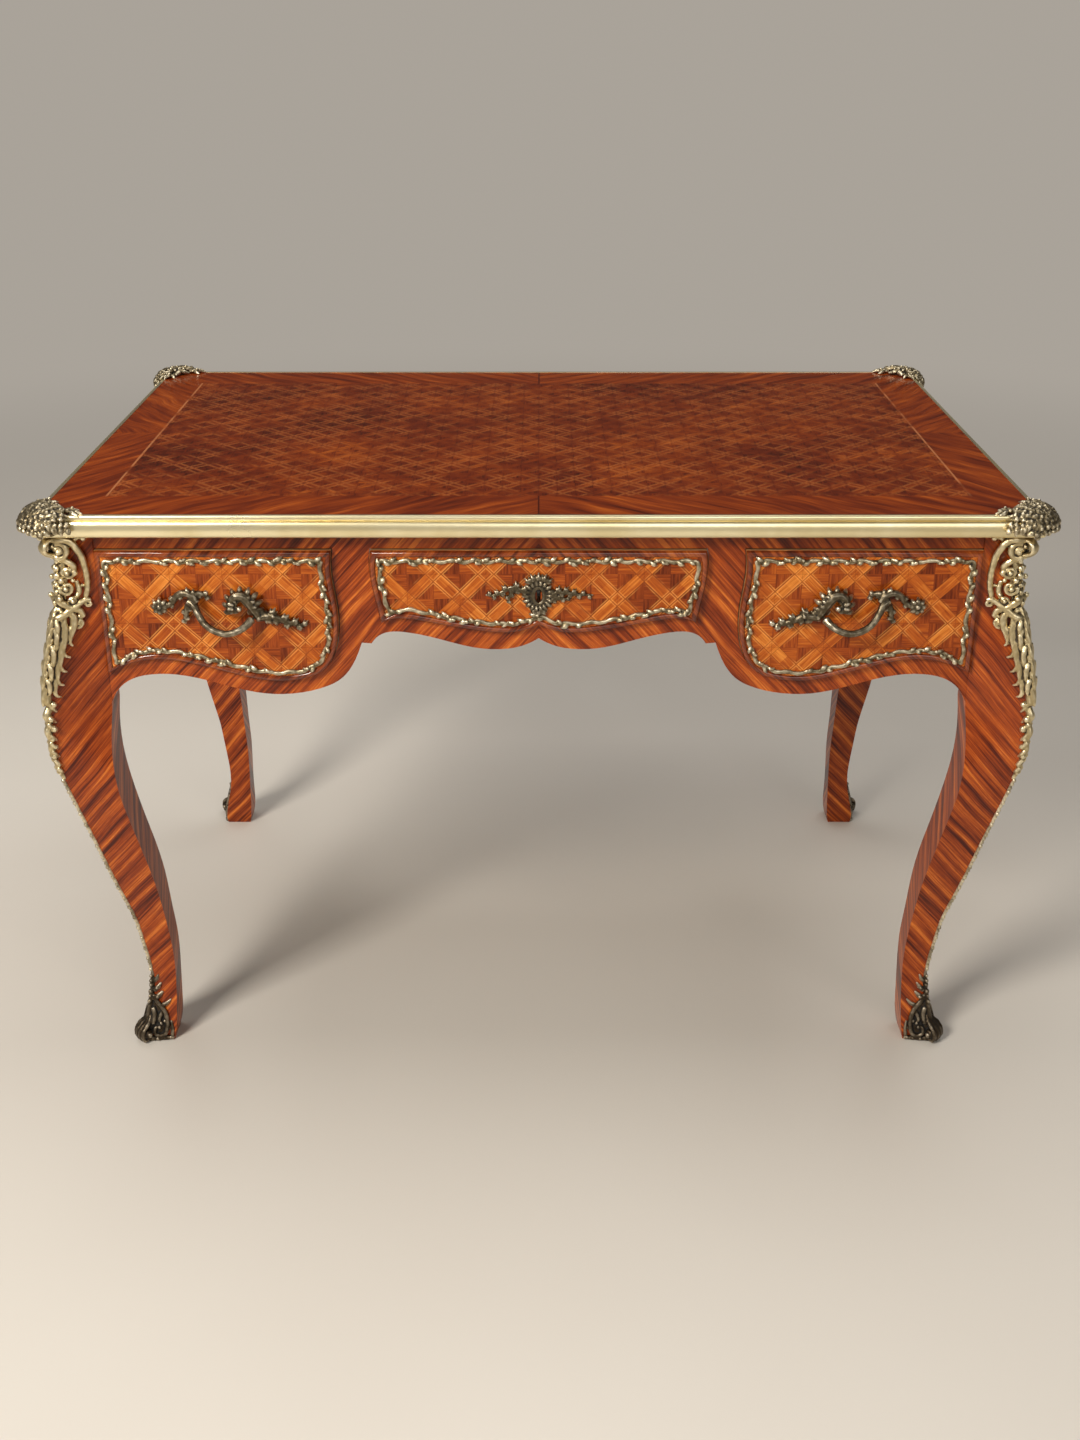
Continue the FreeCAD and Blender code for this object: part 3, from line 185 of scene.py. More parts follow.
def polish(graph, scuff, coat=0.25):
    """French polish: a clear coat over the wood, dulled a little where it is scuffed."""
    return {"Roughness": graph.scaled(scuff, 0.16, 0.26), "Coat_Weight": coat,
            "Coat_Roughness": 0.10, "Specular_IOR_Level": 0.10}


def grain_tone(g, wide, fine):
    return g.minus(g.plus(g.times(wide, 0.85), g.times(fine, 0.45)), 0.15)


def striped_veneer(name, tones, coat):
    """Striped veneer whose stripes lean towards the middle of the table, mirrored on its two halves."""
    g = Graph(name)
    place, normal = g.place()
    x, y, z = g.parts(place)
    nx, ny, _ = g.parts(normal)
    on_side = g.step(g.minus(g.size(nx), g.size(ny)), -0.05, 0.05)
    across = g.blend_values(on_side, g.size(x), g.size(y))
    sway = g.times(g.minus(g.noise(place, 5.0, 2.0), 0.5), 0.016)
    width = g.plus(g.scaled(across, math.sin(STRIPE_LEAN), g.times(z, math.cos(STRIPE_LEAN))), sway)
    length = g.scaled(across, -math.cos(STRIPE_LEAN), g.times(z, math.sin(STRIPE_LEAN)))
    layer = g.times(on_side, 3.0)
    wide = g.streaks(width, length, layer, 105.0, 3.5)
    fine = g.streaks(width, length, layer, 520.0, 10.0)
    pores = g.streaks(width, length, layer, 1500.0, 60.0, 2.0, 0.5)
    colour = g.ramp(grain_tone(g, wide, fine), (0.34, 0.46, 0.56, 0.69), tones)
    colour = g.mix(g.scaled(g.step(pores, 0.36, 0.52), -0.35, 0.35), colour, tones[0])
    wear = g.noise(place, 9.0, 4.0)
    colour = g.mix(g.times(g.step(wear, 0.5, 0.75), 0.25), colour, tones[2])
    g.bump(fine, 0.05, 0.0004)
    return g.finish(colour, **polish(g, wear, coat))


def parquetry(name, upright, pitch, tones, line_tone, line_share, glow, contrast):
    """Diagonal trellis of banded squares, each quartered with the grain turned from quarter to quarter."""
    g = Graph(name)
    place, _ = g.place()
    x, y, z = g.parts(place)
    second = z if upright else y
    scale = 1.0 / (math.sqrt(2.0) * pitch)
    along = g.times(g.plus(x, second), scale)
    across = g.times(g.minus(x, second), scale)
    off_along = g.minus(g.fract(g.plus(along, CELLS)), 0.5)
    off_across = g.minus(g.fract(g.plus(across, CELLS)), 0.5)
    far_along = g.size(off_along)
    far_across = g.size(off_across)
    cell = g.chance(g.floor(g.plus(along, CELLS)), g.floor(g.plus(across, CELLS)), 0.0)
    quarter = g.step(g.minus(far_along, far_across), -2.0 * BAND_SOFT, 2.0 * BAND_SOFT)
    band_edge = 0.5 - BAND
    in_band_along = g.step(far_along, band_edge - BAND_SOFT, band_edge + BAND_SOFT)
    in_band_across = g.step(far_across, band_edge - BAND_SOFT, band_edge + BAND_SOFT)

    def slanted(sign):
        """Grain along one of the two diagonals."""
        return g.streaks(g.scaled(second, sign, x), g.scaled(second, -sign, x), cell, 330.0, 18.0, 4.0)

    level = g.blend_values(quarter, g.streaks(x, second, cell, 420.0, 26.0, 4.0),
                           g.streaks(x, second, cell, 26.0, 420.0, 4.0))
    level = g.blend_values(in_band_along, level, slanted(1.0))
    level = g.blend_values(in_band_across, level, slanted(-1.0))
    in_band = g.math("MAXIMUM", in_band_along, in_band_across)
    # Patches of tone that vary at random, painted lighter and darker as glints on the wood
    glint_patch = g.noise(place, 7.0, 3.0)
    facet = g.chance(g.sign(g.plus(off_along, off_across)), g.sign(g.minus(off_along, off_across)), cell)
    strip = g.chance(g.floor(g.plus(along, CELLS + 0.5)), g.floor(g.plus(across, CELLS + 0.5)), in_band_along)
    facet_lift = g.scaled(quarter, 0.09, g.times(facet, 0.10))
    strip_lift = g.scaled(strip, 0.14, g.scaled(in_band_along, -0.05, 0.19))
    lift = g.blend_values(in_band, facet_lift, strip_lift)
    lift = g.scaled(lift, contrast, 0.14 * (1.0 - contrast))
    tone = g.plus(g.times(level, 0.62), lift)
    # Painted glint: tone raised and lowered by the random patches, as strongly as glow says
    tone = g.plus(tone, g.times(g.minus(glint_patch, 0.5), glow))
    colour = g.ramp(tone, (0.26, 0.42, 0.56, 0.72), tones)
    near = g.least(g.size(g.minus(far_along, band_edge)), g.size(g.minus(far_across, band_edge)))
    seam = g.least(near, g.size(g.minus(far_along, far_across)))
    seam = g.times(g.minus(1.0, g.step(seam, 0.004, 0.014)), 0.45)
    colour = g.mix(seam, colour, tones[0])
    line = g.minus(1.0, g.step(g.size(g.minus(near, 0.03)), 0.010, 0.022))
    broken = g.step(g.noise(place, 26.0, 2.0), 0.36, 0.62)
    colour = g.mix(g.times(g.times(line, broken), line_share), colour, line_tone)
    if upright:
        board = g.noise(g.vector(g.times(x, 9.0), g.times(y, 240.0), g.times(z, 240.0)), 1.0)
        bare = g.ramp(board, OAK_PLACES, OAK_TONES)
        colour = g.mix(g.step(g.size(y), VENEER_DEPTH, VENEER_DEPTH + 0.0004), bare, colour)
    g.bump(level, 0.04, 0.0003)
    return g.finish(colour, **polish(g, g.noise(place, 6.0, 5.0)))


def crossbanding(name, tones):
    """Border of the top: slanted grain mirrored at the middle of each length, and a pale line at the ends."""
    g = Graph(name)
    place, _ = g.place()
    x, y, _ = g.parts(place)
    share_x = g.math("DIVIDE", g.minus(g.size(x), FIELD_X), BORDER_X)
    share_y = g.math("DIVIDE", g.minus(g.size(y), FIELD_Y), BORDER_Y)
    on_end = g.step(g.minus(share_x, share_y), -0.004, 0.004)
    run = g.blend_values(on_end, g.size(x), g.size(y))
    depth = g.blend_values(on_end, g.size(y), g.size(x))
    width = g.scaled(run, math.sin(BORDER_LEAN), g.times(depth, -math.cos(BORDER_LEAN)))
    length = g.scaled(run, math.cos(BORDER_LEAN), g.times(depth, math.sin(BORDER_LEAN)))
    width = g.plus(width, g.times(g.minus(g.noise(place, 6.0, 2.0), 0.5), 0.05))
    side = g.scaled(g.sign(x), 3.0, g.times(g.sign(y), 7.0))
    wide = g.streaks(width, length, side, 60.0, 5.0)
    fine = g.streaks(width, length, side, 420.0, 16.0)
    colour = g.ramp(grain_tone(g, wide, fine), (0.28, 0.45, 0.60, 0.78), tones)
    colour = g.mix(g.step(g.size(x), 0.0006, 0.0014), tones[0], colour)
    inlay = g.times(g.step(share_x, 0.005, 0.012), g.minus(1.0, g.step(share_x, 0.045, 0.055)))
    inlay = g.times(g.times(inlay, on_end), g.step(g.noise(place, 20.0, 2.0), 0.30, 0.55))
    colour = g.mix(g.times(inlay, 0.75), colour, BORDER_LINE)
    g.bump(fine, 0.04, 0.0003)
    return g.finish(colour, **polish(g, g.noise(place, 6.0, 5.0)))


def plain_timber(name, tones):
    """Unpolished secondary timber with straight grain from front to back."""
    g = Graph(name)
    place, _ = g.place()
    x, y, z = g.parts(place)
    fine = g.noise(g.vector(g.times(x, 210.0), g.times(y, 9.0), g.times(z, 210.0)), 1.0, 4.0, 0.6)
    wide = g.noise(g.vector(g.times(x, 40.0), g.times(y, 2.5), g.times(z, 40.0)), 1.0, 3.0)
    colour = g.ramp(g.plus(g.times(fine, 0.55), g.times(wide, 0.45)), OAK_PLACES, tones)
    g.bump(fine, 0.15, 0.0006)
    return g.finish(colour, Roughness=g.scaled(fine, 0.2, 0.55))


def cast_metal(name, bright, dull, hollow_shade_tone, tarnish, rough):
    """Cast and chased metal: a painted highlight on the high spots, dull on the flats and painted shade in
    the hollows.
    """
    g = Graph(name)
    place, _ = g.place()
    depth = g.add("ShaderNodeAttribute", attribute_name="hollow").outputs["Fac"]
    spots = g.noise(place, 70.0, 5.0, 0.62)
    ragged = g.scaled(g.minus(spots, 0.5), 0.5, depth)
    # Share of the painted highlight on the high spots
    high = g.minus(1.0, g.step(ragged, -1.1, -0.15))
    # Share of the painted shade in the hollows, where the metal is also less metallic and rougher
    low = g.step(ragged, 0.02, 0.48)
    age = g.times(g.step(spots, 0.42, 0.66), tarnish)
    colour = g.mix(high, dull, bright)
    colour = g.mix(age, colour, tuple(0.7 * tone for tone in dull))
    colour = g.mix(low, colour, hollow_shade_tone)
    shine = g.plus(g.scaled(spots, 0.22, rough), g.times(low, 0.25))
    g.bump(g.noise(place, 900.0, 2.0), 0.08, 0.0003)
    return g.finish(colour, Metallic=g.scaled(low, -0.6, 0.95), Roughness=shine)


def drawn_brass(name, bright, dull):
    """Smooth drawn moulding with soft clouds of tarnish."""
    g = Graph(name)
    place, _ = g.place()
    cloud = g.noise(place, 9.0, 4.0, 0.55)
    colour = g.mix(g.step(cloud, 0.42, 0.68), bright, dull)
    return g.finish(colour, Metallic=0.95, Roughness=g.scaled(cloud, 0.14, 0.22))


stripes = striped_veneer("striped_veneer", VENEER_TONES, 0.35)
# The next to last argument, glow, is how strongly random patches are painted lighter and darker as glints
face_pattern = parquetry("drawer_parquetry", True, 0.045, FACE_TONES, FACE_LINE, 0.45, 0.24, 1.0)
top_pattern = parquetry("top_parquetry", False, 0.032, TOP_TONES, TOP_LINE, 0.55, 0.55, 0.45)
lip_stripes = striped_veneer("lip_veneer", LIP_TONES, 1.0)
border = crossbanding("top_crossbanding", BAND_TONES)
oak = plain_timber("plain_timber", OAK_TONES)
moulding_brass = drawn_brass("moulding_brass", (0.90, 0.80, 0.52), (0.78, 0.66, 0.38))
# Each cast metal: tone of the painted highlight on the high spots, tone of the flats, tone of the painted
# shade in the hollows, tarnish and roughness
gilt = cast_metal("gilt_mounts", (0.90, 0.79, 0.53), (0.52, 0.41, 0.22), (0.030, 0.018, 0.007), 0.40, 0.24)
aged = cast_metal("aged_mounts", (0.76, 0.67, 0.48), (0.20, 0.155, 0.085), (0.014, 0.010, 0.005), 0.7, 0.30)
handle_brass = cast_metal("handle_mounts", (0.68, 0.60, 0.45), (0.11, 0.086, 0.052), (0.010, 0.007, 0.004),
                          0.7, 0.30)
bronze = cast_metal("dark_mounts", (0.44, 0.37, 0.27), (0.060, 0.042, 0.025), (0.008, 0.006, 0.004), 0.7,
                    0.34)
steel = cast_metal("lock_metal", (0.60, 0.58, 0.55), (0.42, 0.41, 0.39), (0.10, 0.09, 0.08), 0.5, 0.34)

SLOT_MATERIALS = {"striped_veneer": stripes, "parquetry": face_pattern, "crossbanding": border, "oak": oak,
                  "polished_brass": moulding_brass, "gilt_brass": gilt, "aged_brass": aged,
                  "dark_bronze": bronze, "lock_steel": steel}
for entry in frame["record"]["subparts"]:
    piece = frame["nodes"][entry["node"]]
    chosen = top_pattern if entry["node"] == "top_field_parquetry" else SLOT_MATERIALS[entry["material_slot"]]
    piece.data.materials.clear()
    piece.data.materials.append(chosen)


# Castings: closed strokes fused on a fine grid, so that they read as one piece of cast metal.
# Their measures are in millimetres.
UPRIGHT = (0.0, 0.0, 1.0)
FRONTWARD = (0.0, -1.0, 0.0)
BACKWARD = (0.0, 1.0, 0.0)
DIAGONAL_ACROSS = np.array([1.0, 1.0, 0.0]) / math.sqrt(2.0)
# Least radius of a stroke, length of its pointed ends over their radius, angle cut off a ball's poles
THINNEST = 0.3
END_POINT = 0.6
POLE_CUT = 0.35


def smooth_path(stops, steps=6):
    """Curve through rows of numbers, rounded between them."""
    rows = np.array(stops, dtype=float)
    padded = np.vstack([2 * rows[0] - rows[1], rows, 2 * rows[-1] - rows[-2]])
    path = []
    for place in range(len(rows) - 1):
        before, start, end, after = padded[place:place + 4]
        for part in np.linspace(0.0, 1.0, steps, endpoint=False):
            path.append(start + 0.5 * part * (end - before
                        + part * (2 * before - 5 * start + 4 * end - after
                        + part * (3 * (start - end) + after - before))))
    path.append(rows[-1])
    return np.array(path)


def unit(rows):
    return rows / np.maximum(np.linalg.norm(rows, axis=-1, keepdims=True), 1e-9)


def skin(rings, count, closed):
    """Faces over rings of count points each; where closed, the last ring joins the first."""
    faces = []
    for ring in range(rings if closed else rings - 1):
        here = ring * count
        beyond = (ring + 1) % rings * count
        for k in range(count):
            after = (k + 1) % count
            faces.append((here + k, here + after, beyond + after, beyond + k))
    return faces


def spots_and_normals(mesh):
    spots = np.empty(len(mesh.vertices) * 3)
    mesh.vertices.foreach_get("co", spots)
    normals = np.empty(len(mesh.vertices) * 3)
    mesh.vertex_normals.foreach_get("vector", normals)
    return spots.reshape(-1, 3), normals.reshape(-1, 3)


def wander(mesh, lumps, lump_size):
    """Push the surface in and out by a slow noise, as hand chasing does."""
    spots, normals = spots_and_normals(mesh)
    shift = np.array([noise.noise(Vector(spot) * (1.0 / MM / lump_size)) for spot in spots])
    spots += normals * shift[:, None] * lumps * MM
    mesh.vertices.foreach_set("co", spots.ravel())
    mesh.update()


def mark_hollows(mesh, rounds=22):
    """Keep at each vertex how far it lies below its smoothed surroundings, in millimetres."""
    spots, normals = spots_and_normals(mesh)
    count = len(spots)
    ends = np.empty(len(mesh.edges) * 2, dtype=np.int64)
    mesh.edges.foreach_get("vertices", ends)
    start, end = ends.reshape(-1, 2).T
    neighbours = np.maximum(np.bincount(ends, minlength=count), 1)[:, None]
    soft = spots.copy()
    for _ in range(rounds):
        totals = [np.bincount(start, column[end], count) + np.bincount(end, column[start], count)
                  for column in soft.T]
        soft = np.column_stack(totals) / neighbours
    depth = ((soft - spots) * normals).sum(axis=1) / MM
    mesh.attributes.new("hollow", "FLOAT", "POINT").data.foreach_set("value", depth)


class Casting:
    """Collects closed strokes and balls in millimetres and fuses them."""

    def __init__(self):
        self.verts = []
        self.faces = []

    def add(self, rings, ends):
        """Skin a stack of rings and close it with a point at each end."""
        base = len(self.verts)
        count, sides = rings.shape[:2]
        self.verts.extend(map(tuple, rings.reshape(-1, 3)))
        self.verts.extend(map(tuple, ends))
        self.faces.extend([tuple(base + k for k in face) for face in skin(count, sides, False)])
        first_end = base + count * sides
        last = base + (count - 1) * sides
        for side in range(sides):
            after = (side + 1) % sides
            self.faces.append((first_end, base + after, base + side))
            self.faces.append((first_end + 1, last + side, last + after))

    def stroke(self, stops, lift, flat=1.0, sides=10):
        """A bar through stops of x, y, z, radius; flat is its thickness towards lift over its width."""
        path = smooth_path(stops)
        points = path[:, :3]
        radii = np.maximum(path[:, 3], THINNEST)[:, None, None]
        along = unit(np.gradient(points, axis=0))
        across = unit(np.cross(along, lift))
        upward = np.cross(across, along)
        turn = np.linspace(0.0, 2.0 * math.pi, sides, endpoint=False)
        rings = points[:, None, :] + radii * (np.cos(turn)[None, :, None] * across[:, None, :]
                                              + flat * np.sin(turn)[None, :, None] * upward[:, None, :])
        ends = [points[0] - along[0] * radii[0, 0] * END_POINT,
                points[-1] + along[-1] * radii[-1, 0] * END_POINT]
        self.add(rings, ends)

    def ball(self, centre, radius):
        stops = [(*centre[:2], centre[2] + radius * math.cos(angle), radius * math.sin(angle))
                 for angle in np.linspace(POLE_CUT, math.pi - POLE_CUT, 6)]
        self.stroke(stops, BACKWARD, sides=8)

    def reflected(self, change):
        """Add a copy of everything so far, moved point by point."""
        base = len(self.verts)
        self.verts.extend([change(spot) for spot in self.verts])
        self.faces.extend([tuple(base + k for k in face[::-1]) for face in self.faces])

    def fused(self, name, grid, lumps=0.35, lump_size=5.0):
        """One mesh of all strokes; lumps is how far the hand-worked surface wanders, in millimetres."""
        mesh = bpy.data.meshes.new(name + "_strokes")
        mesh.from_pydata([tuple(MM * k for k in spot) for spot in self.verts], [], self.faces)
        blank = bpy.data.objects.new(name + "_strokes", mesh)
        bpy.context.scene.collection.objects.link(blank)
        joined = blank.modifiers.new("joined", "REMESH")
        joined.mode = "VOXEL"
        joined.voxel_size = grid * MM
        eased = blank.modifiers.new("eased", "SMOOTH")
        eased.factor = 0.5
        eased.iterations = 2
        ready = blank.evaluated_get(bpy.context.evaluated_depsgraph_get())
        cast = bpy.data.meshes.new_from_object(ready)
        cast.name = name
        bpy.data.objects.remove(blank)
        bpy.data.meshes.remove(mesh)
        wander(cast, lumps, lump_size)
        mark_hollows(cast)
        cast.shade_smooth()
        return cast


def set_piece(name, mesh, look, slot, body, *replaced):
    mesh.materials.clear()
    mesh.materials.append(look)
    piece = bpy.data.objects.new(name, mesh)
    bpy.context.scene.collection.objects.link(piece)
    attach(piece, body)
    if replaced:
        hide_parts(*replaced)


def flipped(mesh, name, x_sign, y_sign):
    other = mesh.copy()
    other.name = name
    other.transform(Matrix.Diagonal((x_sign, y_sign, 1.0, 1.0)))
    if x_sign * y_sign < 0:
        other.flip_normals()
    return other


CORNERS = (("front_right", 1, 1), ("front_left", -1, 1), ("back_right", 1, -1), ("back_left", -1, -1))


def at_corners(kind, mesh, look, slot):
    """Set a front right casting at all four corners."""
    for corner, x_sign, y_sign in CORNERS:
        name = "cast_%s_%s" % (kind, corner)
        copy = flipped(mesh, name, x_sign, y_sign)
        set_piece(name, copy, look, slot, "table_frame", "%s_%s" % (kind, corner))


# The front right leg as a guide for the castings that lie on it: planes of its apron faces and top of the leg
FACE_X = 572.0
FACE_Y = -362.0
UNDER = 751.0
# Rays start this far outside the leg; the one to the arris runs a little beside it
RAY_START = 300.0
RAY_ASIDE = 0.2
RAY_FRONT = -900.0
guide = frame["nodes"]["leg_front_right"].data
leg_surface = BVHTree.FromPolygons([v.co for v in guide.vertices], [p.vertices for p in guide.polygons])


def arris(z):
    """How far the leg's arris stands out from the apron at a height."""
    inward = Vector((-1.0, 1.0, 0.0)).normalized()
    start = Vector((FACE_X + RAY_START, FACE_Y - RAY_START - RAY_ASIDE, z)) * MM
    hit = leg_surface.ray_cast(start, inward)[0]
    return hit.x / MM - FACE_X


def on_front(along, z, off):
    """Point on the front face, measured from the arris, standing off the face."""
    x = FACE_X + arris(z) - along
    hit = leg_surface.ray_cast(Vector((x, RAY_FRONT, z)) * MM, Vector(BACKWARD))[0]
    y = hit.y / MM if hit else FACE_Y
    return (x, y - off, z)


def on_arris(z, out):
    reach = arris(z) + out
    return (FACE_X + reach, FACE_Y - reach, z)


def over_diagonal(corner_x, corner_y):
    """Mirror of points from the front to the side, across the diagonal of a corner."""
    return lambda spot: (corner_x - (spot[1] - corner_y), corner_y - (spot[0] - corner_x), spot[2])


def lay(casting, rows, flat=1.0):
    """A stroke on the front face through rows of along, height, off and radius."""
    casting.stroke([(*on_front(along, z, off), radius) for along, z, off, radius in rows], FRONTWARD, flat)


def hung(rows):
    """Rows whose heights are measured down from the top of the leg."""
    return [(along, UNDER - down, off, radius) for along, down, off, radius in rows]


def lay_on_arris(casting, rows):
    """A stroke along the arris through rows of height, out and radius."""
    casting.stroke([(*on_arris(z, out), radius) for z, out, radius in rows], DIAGONAL_ACROSS)


def curl(centre, radius, start, turns, thick):
    """Rows of along, down, off and radius of a spiral that winds in to its eye."""
    rows = []
    for part in np.linspace(0.0, 1.0, 14):
        angle = math.radians(start) + 2.0 * math.pi * turns * part
        reach = radius * (1.0 - 0.8 * part)
        rows.append((centre[0] + reach * math.cos(angle), centre[1] + reach * math.sin(angle),
                     centre[2] + 2.0 * part, thick * (1.0 - 0.35 * part)))
    return rows


def roll(casting, z, out, radius, turns, wide, thick):
    """A scroll rolled over the corner, seen edge on from the diagonal."""
    stops = []
    for part in np.linspace(0.0, 1.0, 16):
        angle = math.radians(150.0) - 2.0 * math.pi * turns * part
        reach = radius * (1.0 - 0.75 * part)
        height = z + reach * math.sin(angle)
        outward = arris(z) + out + reach * math.cos(angle)
        stops.append((FACE_X + outward, FACE_Y - outward, height, wide * (1.0 - 0.2 * part)))
    casting.stroke(stops, unit(np.array([1.0, -1.0, 0.3])), thick / wide)


def knee_mesh():
    """Scrolled strap, a knot of small scrolls, a drooping leaf of pointed lobes and a tail of buds."""
    casting = Casting()
    # Rows of along, down, off and radius
    straps = [
        [(31, 84, 2, 3.2), (33, 70, 3, 3.8), (33, 54, 4, 4.0), (31, 38, 5, 4.2), (27, 23, 6, 4.4),
         (19, 11, 8, 4.8), (8, 6, 10, 5.2), (-3, 7, 12, 5.4)],
        [(19, 9, 6, 3.4), (25, 5, 5, 3.2), (31, 5, 4, 4.6)],
        [(37, 86, 2, 3.4), (30, 85, 3, 3.6), (21, 91, 5, 4.4), (11, 99, 7, 4.8), (2, 104, 6, 4.8),
         (-5, 107, 5, 4.4)],
        [(23, 107, 3, 3.2), (30, 103, 3, 3.8), (26, 97, 4, 4.2), (19, 94, 5, 4.4), (8, 87, 7, 4.8),
         (1, 81, 6, 4.6), (-5, 77, 5, 4.2)],
        [(4, 30, 8, 4.2), (12, 33, 8, 4.2), (18, 40, 6, 4.4), (19, 48, 5, 3.6)],
        [(20, 60, 3, 3.0), (23, 71, 3, 3.6), (20, 82, 3, 3.2)],
    ]
    for rows in straps:
        lay(casting, hung(rows), 0.85)
    # Middle, radius, angle of the outer end, turns and thickness
    curls = [((27, 112, 3), 7.5, 250.0, -1.3, 3.4), ((4, 21, 9), 11.0, 250.0, 1.35, 4.2),
             ((36, 89, 2), 5.0, 270.0, -1.0, 2.8), ((12, 47, 7), 7.0, 20.0, 1.4, 3.0),
             ((10, 67, 7), 8.0, 190.0, -1.4, 3.2), ((18, 84, 5), 5.5, 90.0, 1.2, 2.6)]
    for spiral in curls:
        lay(casting, hung(curl(*spiral)), 0.9)
    # The leaf's lobes hang from their roots, each with a smaller inner lobe on it
    lobe = [(2, 0, 4.0, 4.4), (8, 6, 5.5, 5.2), (12, 16, 6.5, 5.4), (14, 29, 7.0, 5.0), (14, 41, 7.0, 4.2),
            (18, 49, 6.5, 3.0), (24, 53, 5.0, 1.5)]
    inner = [(2, 14, 8.5, 3.0), (6, 24, 10.0, 3.4), (7, 36, 9.5, 2.8), (6, 45, 8.0, 1.4)]
    for root, scale in ((94, 0.80), (101, 1.0), (123, 0.92), (146, 0.80), (168, 0.66)):
        for rows, flat, thick in ((lobe, 0.7, 0.4 + 0.6 * scale), (inner, 0.8, 1.0)):
            lay(casting, hung([(along * scale, root + down * scale, off, radius * thick)
                               for along, down, off, radius in rows]), flat)
    link = [(10, 97, 6, 4.6), (19, 102, 6, 5.0), (22, 113, 6, 5.0), (20, 125, 6, 4.4), (21, 135, 5, 2.8),
            (25, 140, 4, 1.4)]
    lay(casting, hung(link), 0.7)
    beads = [(19, 48, 6, 4.6), (31, 5, 4, 4.8), (27, 112, 4, 3.8), (4, 21, 11, 4.0), (12, 47, 11, 3.4),
             (10, 67, 11, 3.8), (18, 84, 8, 3.0), (17, 58, 6, 2.8), (5, 56, 11, 3.6), (4, 78, 12, 3.6),
             (22, 77, 5, 2.6), (27, 66, 2, 2.2), (7, 212, 3, 4.2), (4, 230, 4, 4.4), (7, 244, 3, 4.6),
             (4, 257, 3, 3.6), (5, 268, 2, 3.8), (2, 281, 3, 4.0), (3, 294, 2, 3.2), (1, 306, 2, 3.0)]
    for along, z, off, radius in hung(beads):
        casting.ball(on_front(along, z, off), radius)
    for down, length in ((211, 12), (226, 11), (238, 11), (251, 10), (263, 9), (275, 8), (288, 7), (300, 6)):
        reach = length * 0.8
        lay(casting, hung([(1, down - 2, 3, 2.6), (reach * 0.6, down + length * 0.45, 2.5, 3.0),
                           (reach, down + length, 0.5, 1.2)]))
    casting.reflected(over_diagonal(FACE_X, FACE_Y))
    roll(casting, UNDER - 17, 4.0, 13.0, 1.35, 8.0, 3.8)
    # On the arris: rows of down, out and radius
    knobs = [(34, 1, 4.4), (44, 2, 3.6), (53, 2, 4.8), (64, 2.5, 4.0), (73, 2, 5.0), (86, 3, 4.4)]
    for down, out, radius in knobs:
        casting.ball(on_arris(UNDER - down, out), radius)
    leaf = [(0, 0.5, 5.0), (9, 2.0, 5.4), (18, 3.5, 4.4), (26, 4.5, 2.6), (31, 4.5, 1.2)]
    for root in (92, 108, 126, 145, 164, 182):
        lay_on_arris(casting, [(UNDER - root - down, out, radius) for down, out, radius in leaf])
    stem = [(186, 2, 5.6), (206, 3, 6.0), (214, 1, 4.2), (226, 3, 5.6), (236, 1, 4.2), (248, 2.6, 5.2),
            (260, 1, 3.8), (272, 2, 4.4), (288, 1, 3.4), (300, 1.6, 3.8), (317, 0.6, 2.6)]
    body = [(30, -2, 5.5), (60, 0, 7.0), (90, 1, 7.5), (120, 0, 6.5), (160, -1, 5.5), (196, -2, 4.6)]
    for rows, sunk in ((stem, 2.0), (body, 3.0)):
        lay_on_arris(casting, [(UNDER - down, out - sunk, radius) for down, out, radius in rows])
    return casting.fused("knee_casting", 0.8, 0.5, 6.0)


